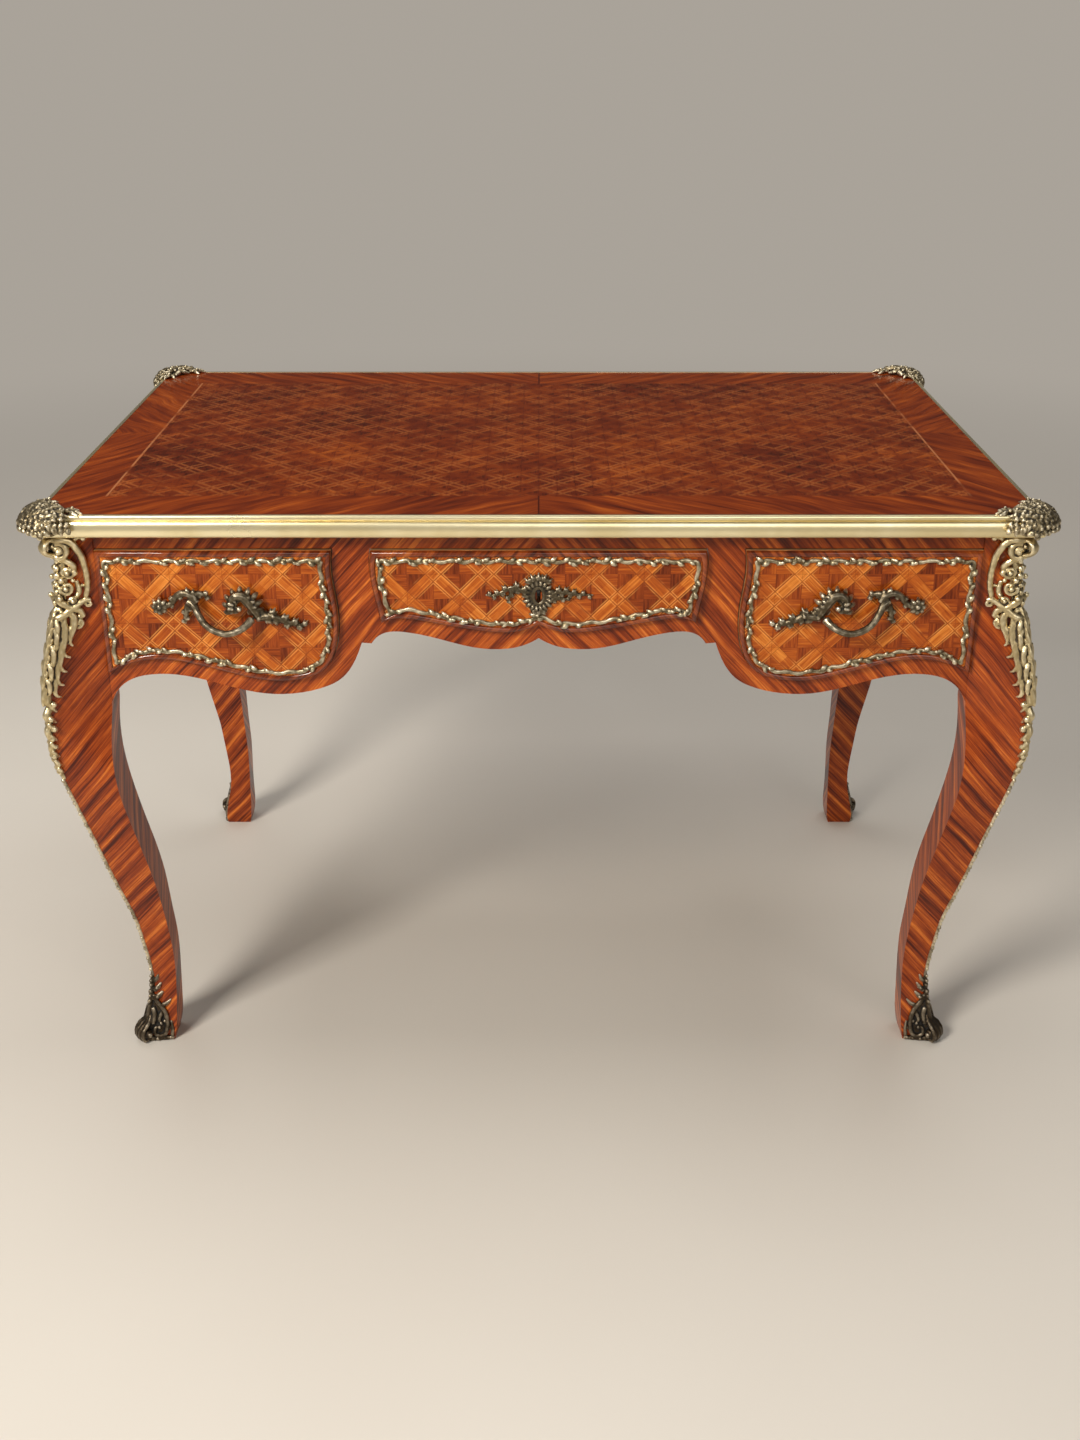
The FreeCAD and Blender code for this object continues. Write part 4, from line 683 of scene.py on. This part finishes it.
def foot_mesh():
    """Leafy strip along the arris, a scrolled leaf on each face and a toe rolled up like a small scroll."""
    casting = Casting()
    # Rows of along, height, off and radius
    scrolls = [
        [(3, 68, 2, 2.6), (9, 59, 2.5, 3.2), (18, 50, 2.5, 3.4), (26, 38, 2.5, 3.2), (30, 24, 2.5, 3.0),
         (28, 12, 3, 3.0), (20, 8, 4, 3.2), (13, 13, 4, 2.8), (14, 21, 3.5, 2.4), (19, 22, 3, 2.0)],
        [(37, 4, 1.5, 3.2), (28, 4, 2.5, 3.4), (16, 4, 4, 3.6), (4, 5, 5, 4.2)],
        [(5, 50, 3, 3.0), (10, 39, 3.5, 3.4), (9, 28, 4, 3.4)],
        [(19, 44, 2, 2.6), (17, 34, 3, 2.8), (21, 28, 2.5, 2.0)],
        [(36, 8, 1, 2.4), (37, 18, 1, 2.4), (34, 30, 0.5, 1.4)],
    ]
    plates = [
        [(8, 52, -1.5, 4.0), (14, 38, -2.5, 9.0), (18, 24, -3.0, 12.0), (19, 12, -3.0, 12.0)],
        [(4, 58, -1.0, 3.6), (6, 46, -1.0, 5.6), (7, 32, -1.5, 7.0), (8, 16, -1.0, 8.0)],
    ]
    leaves = [
        [(3, 62, 2, 3.2), (10, 67, 2.5, 3.8), (15, 73, 1, 1.6)],
        [(3, 75, 2, 3.0), (8, 80, 2, 3.4), (12, 86, 0.5, 1.4)],
        [(2, 88, 1.5, 2.6), (6, 93, 1.5, 2.8), (9, 99, 0.5, 1.2)],
        [(14, 52, 2, 3.0), (22, 55, 2, 3.2), (28, 61, 0.5, 1.3)],
    ]
    for strokes, flat in ((scrolls, 0.9), (plates, 0.45), (leaves, 0.7)):
        for rows in strokes:
            lay(casting, rows, flat)
    beads = [(9, 66, 4, 2.8), (7, 79, 3.5, 2.4), (34, 5, 3, 2.4), (26, 5, 4, 2.6), (16, 5, 6, 2.8),
             (19, 22, 4, 2.6), (25, 31, 3.5, 2.2), (21, 28, 4, 2.2), (33, 20, 2, 1.8)]
    for along, z, off, radius in beads:
        casting.ball(on_front(along, z, off), radius)
    # Lobes of the toe start at its root and spread to both sides as they go down
    toe_root = 38
    toe = [(toe_root, -1.5, 1.8), (31, 0.5, 2.8), (27, 4.0, 3.3), (20, 7.5, 3.6), (11, 8.0, 3.5),
           (4, 6.0, 3.0), (8, 1.5, 2.8)]
    for aside, share in ((2.8, 1.0), (8.2, 0.9)):
        stops = []
        for z, out, radius in toe:
            spread = 0.4 + 0.6 * min((toe_root - z) / 11.0, 1.0)
            stops.append((*(np.array(on_arris(z, out * share)) - DIAGONAL_ACROSS * aside * spread), radius))
        casting.stroke(stops, unit(np.array([1.0, -1.0, 0.4])), 0.85)
    casting.reflected(over_diagonal(FACE_X, FACE_Y))
    heel = np.array(on_arris(14.0, 1.5))
    barrel = ((-11, 6.0), (0, 8.0), (11, 6.0))
    casting.stroke([(*(heel + DIAGONAL_ACROSS * shift), radius) for shift, radius in barrel], UPRIGHT)
    for shift in (-13.0, 13.0):
        casting.ball(heel + DIAGONAL_ACROSS * shift, 3.8)
    for z, radius in ((58, 3.4), (66, 2.8), (73, 3.6), (82, 2.8), (89, 3.2), (97, 2.4)):
        casting.ball(on_arris(z, 1.5), radius)
    spine = [(106, 0, 1.6), (98, 0.5, 2.6), (80, 0.5, 3.0), (60, 1, 3.4), (44, 0.5, 3.6), (30, 0, 4.4),
             (14, 2, 7.0)]
    lay_on_arris(casting, [(z, out - 1.0, radius) for z, out, radius in spine])
    return casting.fused("foot_casting", 0.7)


# Corner mounts of the top: its corner at the front right, and the shell's middle in from there
TOP_X = 600.0
TOP_Y = -390.0
SHELL_IN = 22.0


def corner_mesh():
    """A shell of small lumps and leaflets over the corner, with scrolls and a short leaf along each edge."""
    casting = Casting()
    rng = np.random.default_rng(7)
    heart = np.array([TOP_X - SHELL_IN, TOP_Y + SHELL_IN])
    # Rows of reach from the middle, height and radius
    dome = [(0, 777, 8.0), (12, 779, 9.0), (22, 776, 9.5), (29, 769, 9.0), (30, 759, 6.0)]
    for turn in (-56.0, -28.0, 0.0, 28.0, 56.0):
        angle = math.radians(turn - 45.0)
        heading = np.array([math.cos(angle), math.sin(angle)])
        casting.stroke([(*(heart + heading * reach), z, radius) for reach, z, radius in dome], UPRIGHT)
    crust = np.array([(0, 784), (12, 787), (22, 785), (32, 779), (38, 769), (39, 757)], dtype=float)
    runs = np.concatenate([[0.0], np.cumsum(np.linalg.norm(np.diff(crust, axis=0), axis=1))])

    def on_shell(turn, run):
        """Point on the shell at a heading, at a run down from its crown."""
        angle = math.radians(turn - 45.0)
        reach = np.interp(run, runs, crust[:, 0])
        return (heart[0] + reach * math.cos(angle), heart[1] + reach * math.sin(angle),
                np.interp(run, runs, crust[:, 1]))

    for run in np.arange(6.0, runs[-1], 6.5):
        count = int(3 + run * 0.42)
        for step in range(count):
            turn = -88.0 + 176.0 * (step + 0.9 * rng.random()) / count
            casting.ball(on_shell(turn, run + 4.0 * rng.random() - 2.0), 1.9 + 2.0 * rng.random())
    for leaf in range(22):
        turn = -80.0 + 160.0 * ((leaf * 0.618) % 1.0)
        run = 8.0 + 38.0 * ((leaf * 0.382) % 1.0)
        drift = 18.0 * rng.random() - 9.0
        casting.stroke([(*on_shell(turn, run), 1.8), (*on_shell(turn + drift * 0.4, run + 6.0), 3.4),
                        (*on_shell(turn + drift, run + 12.0), 1.4)], UPRIGHT)
    # Scrolls and leaves along the front edge: rows of x and y from the corner, height and radius
    edge_strokes = [
        [(-12, 4, 781, 3.6), (-22, 9, 785, 4.0), (-32, 11, 785, 4.2), (-40, 7, 784, 3.8), (-39, 1, 783, 3.4),
         (-33, 2, 783, 2.6)],
        [(-14, -13, 755, 3.4), (-19, -11, 764, 3.8), (-25, -9, 773, 4.0), (-31, -3, 780, 4.0),
         (-37, 5, 784, 3.4)],
        [(-38, 12, 781, 2.8), (-47, 13, 782, 3.6), (-55, 9, 781, 3.0), (-62, 7, 779, 1.6)],
        [(-44, 12, 781, 2.4), (-49, 18, 781, 2.8), (-55, 22, 779, 1.4)],
        [(-48, 9, 781, 2.4), (-53, 3, 781, 2.8), (-59, 0, 779, 1.4)],
        [(-12, 16, 780, 4.0), (-20, 23, 784, 4.4), (-29, 24, 783, 4.0), (-38, 20, 780, 2.4)],
        [(-31, -2, 778, 2.6), (-39, -2, 780, 3.0), (-47, -1, 779, 1.6)],
    ]
    for rows in edge_strokes:
        casting.stroke([(TOP_X + x, TOP_Y + y, z, radius) for x, y, z, radius in rows], UPRIGHT, 0.9)
    beads = [(-39, 3, 786), (-25, 24, 788), (-15, -14, 759), (-21, -13, 767), (-27, -10, 775), (-50, 13, 785),
             (-32, 12, 789), (-33, -4, 783), (-45, 8, 783), (-22, 16, 786), (-29, 18, 786), (-56, 8, 782)]
    for x, y, z in beads:
        casting.ball((TOP_X + x, TOP_Y + y, z), 2.3)
    casting.reflected(over_diagonal(TOP_X, TOP_Y))
    return casting.fused("corner_casting", 0.75, 0.5, 3.0)


at_corners("knee_mount", knee_mesh(), gilt, "gilt_brass")
at_corners("foot_mount", foot_mesh(), bronze, "dark_bronze")
at_corners("corner_mount", corner_mesh(), aged, "aged_brass")


# Beaded strips down the arrises of the legs, between knee mount and foot mount
def strip_mesh():
    casting = Casting()
    levels = np.arange(106.0, 434.0, 6.0)
    casting.stroke([(*on_arris(z, -0.4), 2.3) for z in levels], DIAGONAL_ACROSS, 1.0, 8)
    for place, z in enumerate(levels):
        casting.ball(on_arris(z + 2.0, 0.5), 2.4 if place % 3 else 3.0)
    for x_sign, y_sign in ((-1, 1), (1, -1)):
        casting.reflected(lambda spot: (spot[0] * x_sign, spot[1] * y_sign, spot[2]))
    return casting.fused("strip_casting", 1.0)


set_piece("cast_leg_edge_strips", strip_mesh(), aged, "aged_brass", "table_frame", "leg_edge_strips")


# Brass edge of the top: a bead over one large round, swept round the board with mitred corners.
# The profile is in shares of its width and height, in straight and curved runs.
RIM_WIDE = 8.0
RIM_TALL = 27.0
RIM_PROFILE = [[(0.0, 1.02), (0.52, 1.02)], [(0.52, 1.02), (0.80, 1.02), (0.92, 0.84), (0.58, 0.79)],
               [(0.58, 0.79), (0.50, 0.76)], [(0.50, 0.76), (1.15, 0.76), (1.30, 0.10), (0.5, 0.0)],
               [(0.5, 0.0), (0.0, 0.0)]]


def clamped_curve(poles, count):
    """Cubic curve led by its poles, as in the outlines of the solids."""
    spans = len(poles) - 3
    knots = np.concatenate([[0.0] * 3, np.arange(spans + 1.0), [float(spans)] * 3])
    rows = []
    for at in np.linspace(0.0, spans - 1e-6, count):
        span = int(at) + 3
        local = [np.array(pole, dtype=float) for pole in poles[span - 3:span + 1]]
        for level in range(1, 4):
            for k in range(3, level - 1, -1):
                low_knot = knots[span - 3 + k]
                share = (at - low_knot) / (knots[span + 1 + k - level] - low_knot)
                local[k] = (1.0 - share) * local[k - 1] + share * local[k]
        rows.append(local[3])
    return rows


def skinned(name, verts, rings):
    """A mesh over closed rings of points in millimetres, the last ring joined to the first."""
    mesh = bpy.data.meshes.new(name)
    faces = skin(rings, len(verts) // rings, True)
    mesh.from_pydata([tuple(MM * k for k in spot) for spot in verts], [], faces)
    return mesh


def rim_mesh():
    profile = []
    for run in RIM_PROFILE:
        spots = run if len(run) == 2 else clamped_curve(run, 15)
        profile += [tuple(spot) for spot in spots[:-1]]
    profile.append(RIM_PROFILE[-1][-1])
    verts = []
    for x_sign, y_sign in ((1, -1), (1, 1), (-1, 1), (-1, -1)):
        for out, up in profile:
            grown = RIM_WIDE * out - RIM_WIDE
            verts.append((x_sign * (TOP_X + grown), y_sign * (grown - TOP_Y), UNDER + RIM_TALL * up))
    mesh = skinned("rim_casting", verts, 4)
    mesh.shade_smooth()
    mesh.set_sharp_from_angle(angle=math.radians(35.0))
    return mesh


set_piece("drawn_top_edge", rim_mesh(), moulding_brass, "polished_brass", "table_frame", "top_edge_moulding")


# Outlines of the drawer fronts and side panels: poles of x and z, and the way each moves when drawn in
SIDE_POLES = [(249, 729, -1, 1), (254, 700, -1, 0.1), (240, 655, -1, 0), (250, 578, -0.85, -0.5),
              (292, 560, -0.4, -0.95), (345, 558, 0.15, -1), (420, 584, 0.25, -1), (490, 596, 0, -1),
              (534, 570, 1, -1.1)]
SIDE_TOP = (534, 729, 1, 1)
CENTRE_SIDE = [(202, 729, 1, 1), (209, 700, 1, 0), (196, 660, 1, 0), (193, 637, 1, -1)]
CENTRE_FLOOR = [(193, 637, 1, -1), (181, 644, 1, -1), (155, 643, 0.1, -1), (100, 631, -0.15, -1),
                (50, 623, -0.1, -1), (20, 624, 0.3, -1), (0, 635, 0, -1)]
PANEL_POLES = [(319, 572, 1, -1), (279, 594, 0, -1), (213, 585, -0.2, -1), (135, 565, -0.1, -1),
               (70, 558, 0, -1), (0, 558, 0, -1)]
PANEL_TOP = (319, 729, 1, 1)
# How far the frames lie in from the outlines, and the plane of the drawer fronts
FRAME_IN = 12.2
FRONT_PLANE = -370.0


def drawn_in(poles, inset):
    return [(x - inset * nx, z - inset * nz) for x, z, nx, nz in poles]


def both_halves(right):
    """Close a right half that starts at the top and ends on the middle line."""
    left = [np.array([-spot[0], spot[1]]) for spot in right[::-1]][1:]
    return [tuple(spot) for spot in right + left] + [tuple(right[0])]


def side_loop(inset=FRAME_IN):
    run = clamped_curve(drawn_in(SIDE_POLES, inset), 60)
    return [tuple(spot) for spot in run] + drawn_in([SIDE_TOP], inset) + [tuple(run[0])]


def centre_loop(inset=FRAME_IN):
    side = clamped_curve(drawn_in(CENTRE_SIDE, inset), 14)
    return both_halves(side + clamped_curve(drawn_in(CENTRE_FLOOR, inset), 40)[1:])


def panel_loop():
    top = np.array(drawn_in([PANEL_TOP], FRAME_IN)[0])
    return both_halves([top] + clamped_curve(drawn_in(PANEL_POLES, FRAME_IN), 40))


def on_fronts(sign):
    """Sets points of an outline, standing off, on the front; a sign of -1 mirrors them to the left."""
    return lambda x, z, off: (sign * x, FRONT_PLANE - off, z)


def on_back(sign):
    return lambda x, z, off: (sign * x, off - FRONT_PLANE, z)


def on_sides(sign):
    return lambda y, z, off: (sign * (FACE_X + off), y, z)


DRAWERS = (("right", 1, side_loop), ("left", -1, side_loop), ("centre", 1, centre_loop))


# Frames: a ribbon with leaves along each outline
def evenly(loop, step):
    """Points at an even spacing round a closed line, with the direction there."""
    spots = np.array(loop)
    runs = np.concatenate([[0.0], np.cumsum(np.linalg.norm(np.diff(spots, axis=0), axis=1))])
    count = int(round(runs[-1] / step))
    marks = np.linspace(0.0, runs[-1], count, endpoint=False)
    even = np.column_stack([np.interp(marks, runs, spots[:, k]) for k in (0, 1)])
    ahead = np.roll(even, -1, axis=0) - np.roll(even, 1, axis=0)
    return even, unit(ahead)


def leafy_frame(casting, loop, place):
    """Ribbon and leaves along a loop; place sets a point of the loop, standing off, in the table's frame."""
    lift = np.array(place(0.0, 0.0, 1.0)) - np.array(place(0.0, 0.0, 0.0))
    even, ahead = evenly(loop, 4.0)
    ribbon = []
    for k, (spot, heading) in enumerate(zip(even, ahead)):
        wave = 1.1 * math.sin(2.0 * math.pi * k / 7.0)
        ribbon.append((*place(spot[0] - heading[1] * wave, spot[1] + heading[0] * wave, 1.4),
                       2.5 + 0.5 * abs(wave)))
    casting.stroke(ribbon + [ribbon[0]], lift, 0.8, 8)
    rng = np.random.default_rng(11)
    for k in range(0, len(even), 2):
        side = 1.0 if (k // 2) % 2 else -1.0
        skipped, size, bud = rng.random(3)
        if skipped < 0.30:
            continue
        size = 0.75 + 0.6 * size
        spot = even[k]
        heading = ahead[k]
        normal = np.array([-heading[1], heading[0]]) * side
        tip = spot + (heading * 7.0 + normal * 4.2) * size
        middle = spot + (heading * 3.4 + normal * 2.4) * size
        leaf = [(*place(*spot, 2.0), 2.0), (*place(*middle, 3.2), 2.5 * size), (*place(*tip, 1.2), 1.2)]
        casting.stroke(leaf, lift, 0.8, 8)
        if bud < 0.3:
            casting.ball(place(*(spot + normal * 1.5), 3.6), 2.4)


def set_frame(label, grid, runs, name, body, replaced):
    """One piece of leafy frames, along runs of a loop and its place."""
    casting = Casting()
    for loop, place in runs:
        leafy_frame(casting, loop, place)
    set_piece(name, casting.fused(label + "_frame_casting", grid), aged, "aged_brass", body, replaced)


for side, sign, loop_at in DRAWERS:
    set_frame(side, 0.8, [(loop_at(), on_fronts(sign))],
              "cast_%s_frame" % side, side + "_drawer", side + "_drawer_frame")
set_frame("back", 1.0, [(loop_at(), on_back(sign)) for _, sign, loop_at in DRAWERS],
          "cast_back_frames", "table_frame", "back_panel_frames")
set_frame("side", 1.0, [(panel_loop(), on_sides(sign)) for sign in (1, -1)],
          "cast_side_frames", "table_frame", "side_panel_frames")


# Moulded lip round each drawer front: inset from the outline and height above the front
LIP_PROFILE = [(0.4, -6.0), (0.4, -0.8), (0.9, 0.8), (2.2, 1.9), (4.2, 2.2), (6.0, 1.6), (7.2, 0.6),
               (7.6, -1.0)]


def set_lip(label, loop_at, place, body):
    verts = []
    for inset, off in LIP_PROFILE:
        verts += [place(x, z, off) for x, z in loop_at(inset)[:-1]]
    mesh = skinned(label + "_lip", verts, len(LIP_PROFILE))
    shell = bmesh.new()
    shell.from_mesh(mesh)
    bmesh.ops.recalc_face_normals(shell, faces=shell.faces)
    shell.to_mesh(mesh)
    shell.free()
    mesh.shade_smooth()
    mesh.set_sharp_from_angle(angle=math.radians(40.0))
    set_piece("moulded_%s_lip" % label, mesh, lip_stripes, "striped_veneer", body)


for side, sign, loop_at in DRAWERS:
    set_lip(side, loop_at, on_fronts(sign), side + "_drawer")
    set_lip("back_" + side, loop_at, on_back(sign), "table_frame")


# Handles and escutcheon, the handles drawn for the right drawer
HANDLE_POSTS = ((420, 670), (349, 655))
CREST = (358, 662)
ROSETTE = (459, 661)
# Threaded shanks reach through the drawer front to their nuts
SHANK_RADIUS = 2.8
SHANK_DEPTH = 29.5
KEYHOLE_Z = 673.0
# Strokes are this much thicker than their rows say
PLUMP = 1.18
LEAF_LEAN = 62.0


class FrontCasting(Casting):
    """A casting on a drawer front, in rows of x, z, off and radius; a sign of -1 mirrors it to the left."""

    def __init__(self, sign=1):
        super().__init__()
        self.place = on_fronts(sign)

    def bar(self, rows, flat=0.9):
        self.stroke([(*self.place(x, z, off), radius * PLUMP) for x, z, off, radius in rows], FRONTWARD, flat)

    def sprig(self, x, z, off, heading, length, wide):
        """A leaf with a midrib and two side lobes."""
        angle = math.radians(heading)
        forward = np.array([math.cos(angle), math.sin(angle)])
        across = np.array([-forward[1], forward[0]])
        start = np.array([x, z])
        for lean, share in ((0.0, 1.0), (0.55, 0.72), (-0.55, 0.72)):
            tip = start + (forward + across * lean) * length * share
            middle = start + (forward + across * lean * 0.7) * length * share * 0.5
            self.bar([(*start, off - 1.0, wide * 0.6), (*middle, off + 0.8, wide),
                      (*tip, off - 1.6, wide * 0.3)])

    def branch(self, rows, leaves, length, wide):
        """A stem with leaves set to both sides of it in turn."""
        self.bar(rows, 1.0)
        path = smooth_path(rows)
        headings = np.degrees(np.arctan2(np.gradient(path[:, 1]), np.gradient(path[:, 0])))
        for leaf in range(leaves):
            at = int((leaf + 0.7) / (leaves + 0.4) * (len(path) - 1))
            x, z, off, _ = path[at]
            lean = LEAF_LEAN if leaf % 2 else -LEAF_LEAN
            size = 1.0 - 0.35 * leaf / leaves
            self.sprig(x, z, off + 0.5, headings[at] + lean, length * size, wide * size)

    def fan(self, middle, turns, lobe):
        """Lobes spread round a point; each lobe is rows of reach, off and radius."""
        x, z = middle
        for turn in turns:
            angle = math.radians(turn)
            self.bar([(x + reach * math.cos(angle), z + reach * math.sin(angle), off, radius)
                      for reach, off, radius in lobe], 0.8)


def handle_mesh(side, sign):
    """A swan-necked bail from a leafy crest to a knot of branches, with leaves to each side."""
    casting = FrontCasting(sign)
    bail = [(423, 669, 10, 4.0), (416, 664, 13, 4.2), (411, 655, 17, 3.9), (403, 644, 22, 3.7),
            (391, 636, 25, 3.6), (378, 633, 26, 3.6), (365, 635, 24, 3.7), (355, 640, 19, 4.0),
            (348, 646, 12, 4.4)]
    crest = [(338, 645, 6, 5.0), (343, 656, 8, 6.2), (349, 667, 10, 6.4), (356, 675, 11, 6.0),
             (365, 676, 12, 5.0), (371, 670, 12, 3.8), (372, 661, 11, 3.0), (367, 656, 11, 2.6),
             (362, 659, 11, 2.4)]
    for rows in (bail, crest):
        casting.bar(rows, 1.0)
    lobe = ((8, 11, 2.6), (15, 12, 3.2), (21, 10, 3.0), (25, 6, 1.4))
    ridge = ((11, 15, 1.8), (16, 15, 2.0), (19, 12, 1.2))
    casting.fan(CREST, np.linspace(190.0, -20.0, 9), lobe)
    casting.fan(CREST, np.linspace(177.0, -7.0, 8), ridge)
    # Each branch with the number, length and width of its leaves
    branches = [
        ([(341, 647, 8, 4.4), (331, 649, 8, 4.6), (322, 649, 8, 4.2), (312, 644, 7, 3.6), (301, 639, 5, 3.0),
          (291, 636, 3, 2.0), (284, 634, 2, 1.1)], 9, 13.0, 3.0),
        ([(413, 668, 11, 3.8), (418, 676, 10, 4.2), (428, 679, 9, 4.0), (437, 675, 8, 3.6),
          (443, 667, 6, 3.2), (450, 662, 6, 3.2), (459, 661, 6, 3.0), (471, 661, 3, 1.4)], 7, 9.0, 2.6),
        ([(420, 675, 9, 3.6), (411, 678, 8, 3.4), (403, 676, 6, 2.6), (398, 671, 4, 1.4)], 4, 8.0, 2.4),
        ([(424, 664, 8, 3.4), (427, 655, 7, 3.4), (429, 646, 5, 2.8), (431, 638, 3, 1.4)], 4, 8.0, 2.4),
    ]
    for branch in branches:
        casting.branch(*branch)
    casting.fan(ROSETTE, range(0, 360, 45), ((2, 7, 2.6), (7, 8, 2.8), (11, 4, 1.4)))
    beads = [(*ROSETTE, 9, 3.6), (362, 660, 13, 3.4), (339, 648, 11, 3.4), (322, 650, 11, 3.2)]
    for x, z, off, radius in beads:
        casting.ball(casting.place(x, z, off), radius)
    post = [(10, 4.5), (-0.2, 5.0)]
    shank = [(0, SHANK_RADIUS), (-SHANK_DEPTH, SHANK_RADIUS)]
    for x, z in HANDLE_POSTS:
        for rows in (post, shank):
            casting.stroke([(*casting.place(x, z, off), radius) for off, radius in rows], UPRIGHT)
    return casting.fused(side + "_handle_casting", 0.7)


for side, sign, _ in DRAWERS[:2]:
    set_piece("cast_%s_handle" % side, handle_mesh(side, sign), handle_brass, "aged_brass", side + "_drawer",
              side + "_drawer_handle")


def escutcheon_mesh():
    """Oval plate with a gadrooned rim, a leaf crown and a spray of leaves to each side."""
    casting = FrontCasting()
    # Half width, half height, off and radius of the ovals; then the same along one lobe of the rim
    ovals = [(13.6, 15.0, 1.0, 3.0), (9.4, 12.4, 0.8, 2.6), (6.6, 10.6, 2.0, 2.2)]
    gadroon = [(10.5, 12.5, 2.2, 1.5), (14.5, 16.0, 3.6, 2.1), (18.0, 19.0, 2.6, 2.1), (20.0, 21.0, 1.0, 1.2)]

    def on_oval(row, angle):
        wide, high, off, radius = row
        return (wide * math.cos(angle), KEYHOLE_Z + high * math.sin(angle), off, radius)

    for row in ovals:
        casting.bar([on_oval(row, angle) for angle in np.linspace(0.0, 2.0 * math.pi, 21)])
    for angle in np.linspace(0.0, 2.0 * math.pi, 18, endpoint=False):
        casting.bar([on_oval(row, angle) for row in gadroon])
    # Leaves over and under the plate: headings, spread, rise, arch, off, length and width
    tufts = [((30, 60, 90, 120, 150), 9, 15, 4, 3.4, 11.0, 2.0), ((-125, -90, -55), 6, -15, 3, 3.0, 9.0, 1.8)]
    for turns, spread, rise, arch, off, length, wide in tufts:
        for turn in turns:
            angle = math.radians(turn)
            z = KEYHOLE_Z + rise + arch * math.sin(angle)
            casting.sprig(spread * math.cos(angle), z, off, turn, length, wide)
    # Sprays: rows of x, rise over the keyhole, off and radius, with the number, length and width of leaves
    sprays = [
        ([(16, 3, 3, 2.6), (26, 5, 3, 2.4), (37, 4, 3, 2.2), (50, 2, 2.5, 1.8), (66, 1, 1.5, 0.9)],
         9, 10.0, 1.9),
        ([(16, -4, 3, 2.4), (27, -3, 3, 2.0), (38, -5, 2, 1.2)], 4, 7.0, 1.6),
        ([(-16, 3, 3, 2.6), (-23, 9, 3, 2.4), (-33, 11, 3, 2.2), (-43, 6, 3, 2.0), (-53, 1, 2.5, 1.8),
          (-64, 1, 1.5, 0.9)], 9, 10.0, 1.9),
        ([(-30, 9, 3, 2.2), (-35, 0, 3, 2.0), (-38, -9, 2, 1.2)], 4, 7.0, 1.6),
    ]
    for rows, leaves, length, wide in sprays:
        raised = [(x, KEYHOLE_Z + up, off, radius) for x, up, off, radius in rows]
        casting.branch(raised, leaves, length, wide)
    return casting.fused("escutcheon_casting", 0.55)


set_piece("cast_keyhole_escutcheon", escutcheon_mesh(), handle_brass, "aged_brass", "centre_drawer",
          "keyhole_escutcheon")


# Stage: a wide pale floor that fades into a pale horizon, with soft light from the upper left
BACKDROP = (0.40, 0.365, 0.32)
OVERHEAD = (0.025, 0.024, 0.023)
FLOOR_TONES = [(0.60, 0.555, 0.49), (0.64, 0.60, 0.535)]
FLOOR_REACH = 90.0
# Distances over which the floor fades
FADE_START = 1.3
FADE_END = 4.5
# How steeply up the backdrop starts and ends its change to the overhead tone
RISE_START = 0.03
RISE_END = 0.20


def stage_floor():
    g = Graph("pale_floor")
    place, _ = g.place()
    g.finish(g.ramp(g.noise(place, 0.8, 3.0), (0.3, 0.7), FLOOR_TONES), Roughness=0.55)
    distance = g.add("ShaderNodeVectorMath", place, operation="LENGTH").outputs["Value"]
    far_off = g.step(distance, FADE_START, FADE_END)
    glow = g.add("ShaderNodeEmission", BACKDROP)
    joined = g.add("ShaderNodeMixShader", far_off, g.shader.outputs[0], glow.outputs[0])
    g.feed(g.tree.nodes["Material Output"].inputs["Surface"], joined.outputs[0])
    mesh = bpy.data.meshes.new("floor")
    corners = [(x * FLOOR_REACH, y * FLOOR_REACH, 0.0) for x, y in ((-1, -1), (1, -1), (1, 1), (-1, 1))]
    mesh.from_pydata(corners, [], [(0, 1, 2, 3)])
    mesh.materials.append(g.holder)
    floor = bpy.data.objects.new("floor", mesh)
    bpy.context.scene.collection.objects.link(floor)


def studio_world():
    """Pale low down, where the floor ends, and dim overhead."""
    g = Graph("studio", "worlds")
    heading = g.add("ShaderNodeTexCoord").outputs["Generated"]
    rise = g.step(g.parts(heading)[2], RISE_START, RISE_END)
    g.feed(g.tree.nodes["Background"].inputs[0], g.mix(rise, BACKDROP, OVERHEAD))
    bpy.context.scene.world = g.holder


def area_light(name, place, aim, size, power, tint):
    data = bpy.data.lights.new(name, "AREA")
    data.shape = "RECTANGLE"
    data.size, data.size_y = size
    data.energy = power
    data.color = tint
    lamp = bpy.data.objects.new(name, data)
    lamp.location = place
    lamp.rotation_euler = (Vector(aim) - Vector(place)).to_track_quat("-Z", "Y").to_euler()
    bpy.context.scene.collection.objects.link(lamp)


stage_floor()
area_light("key", (-2.1, -2.8, 2.8), (0.0, -0.2, 0.5), (1.2, 1.2), 165.0, (1.0, 0.95, 0.88))
area_light("fill", (1.2, -3.4, 2.0), (0.0, 0.0, 0.5), (3.0, 1.6), 36.0, (1.0, 0.98, 0.95))
area_light("sky", (0.0, 0.8, 3.6), (0.0, 0.3, 0.6), (4.0, 3.0), 95.0, (1.0, 0.98, 0.96))
studio_world()
bpy.context.scene.view_settings.view_transform = "Standard"

CAMERA_PLACE = (0.0016, -2.1897, 1.3425)
CAMERA_TILT = math.radians(65.33)
CAMERA_LENS = 39.87
lens = bpy.data.cameras.new("camera")
lens.sensor_width = 36.0
lens.lens = CAMERA_LENS
camera = bpy.data.objects.new("camera", lens)
camera.location = CAMERA_PLACE
camera.rotation_euler = (CAMERA_TILT, 0.0, 0.0)
bpy.context.scene.collection.objects.link(camera)
bpy.context.scene.camera = camera
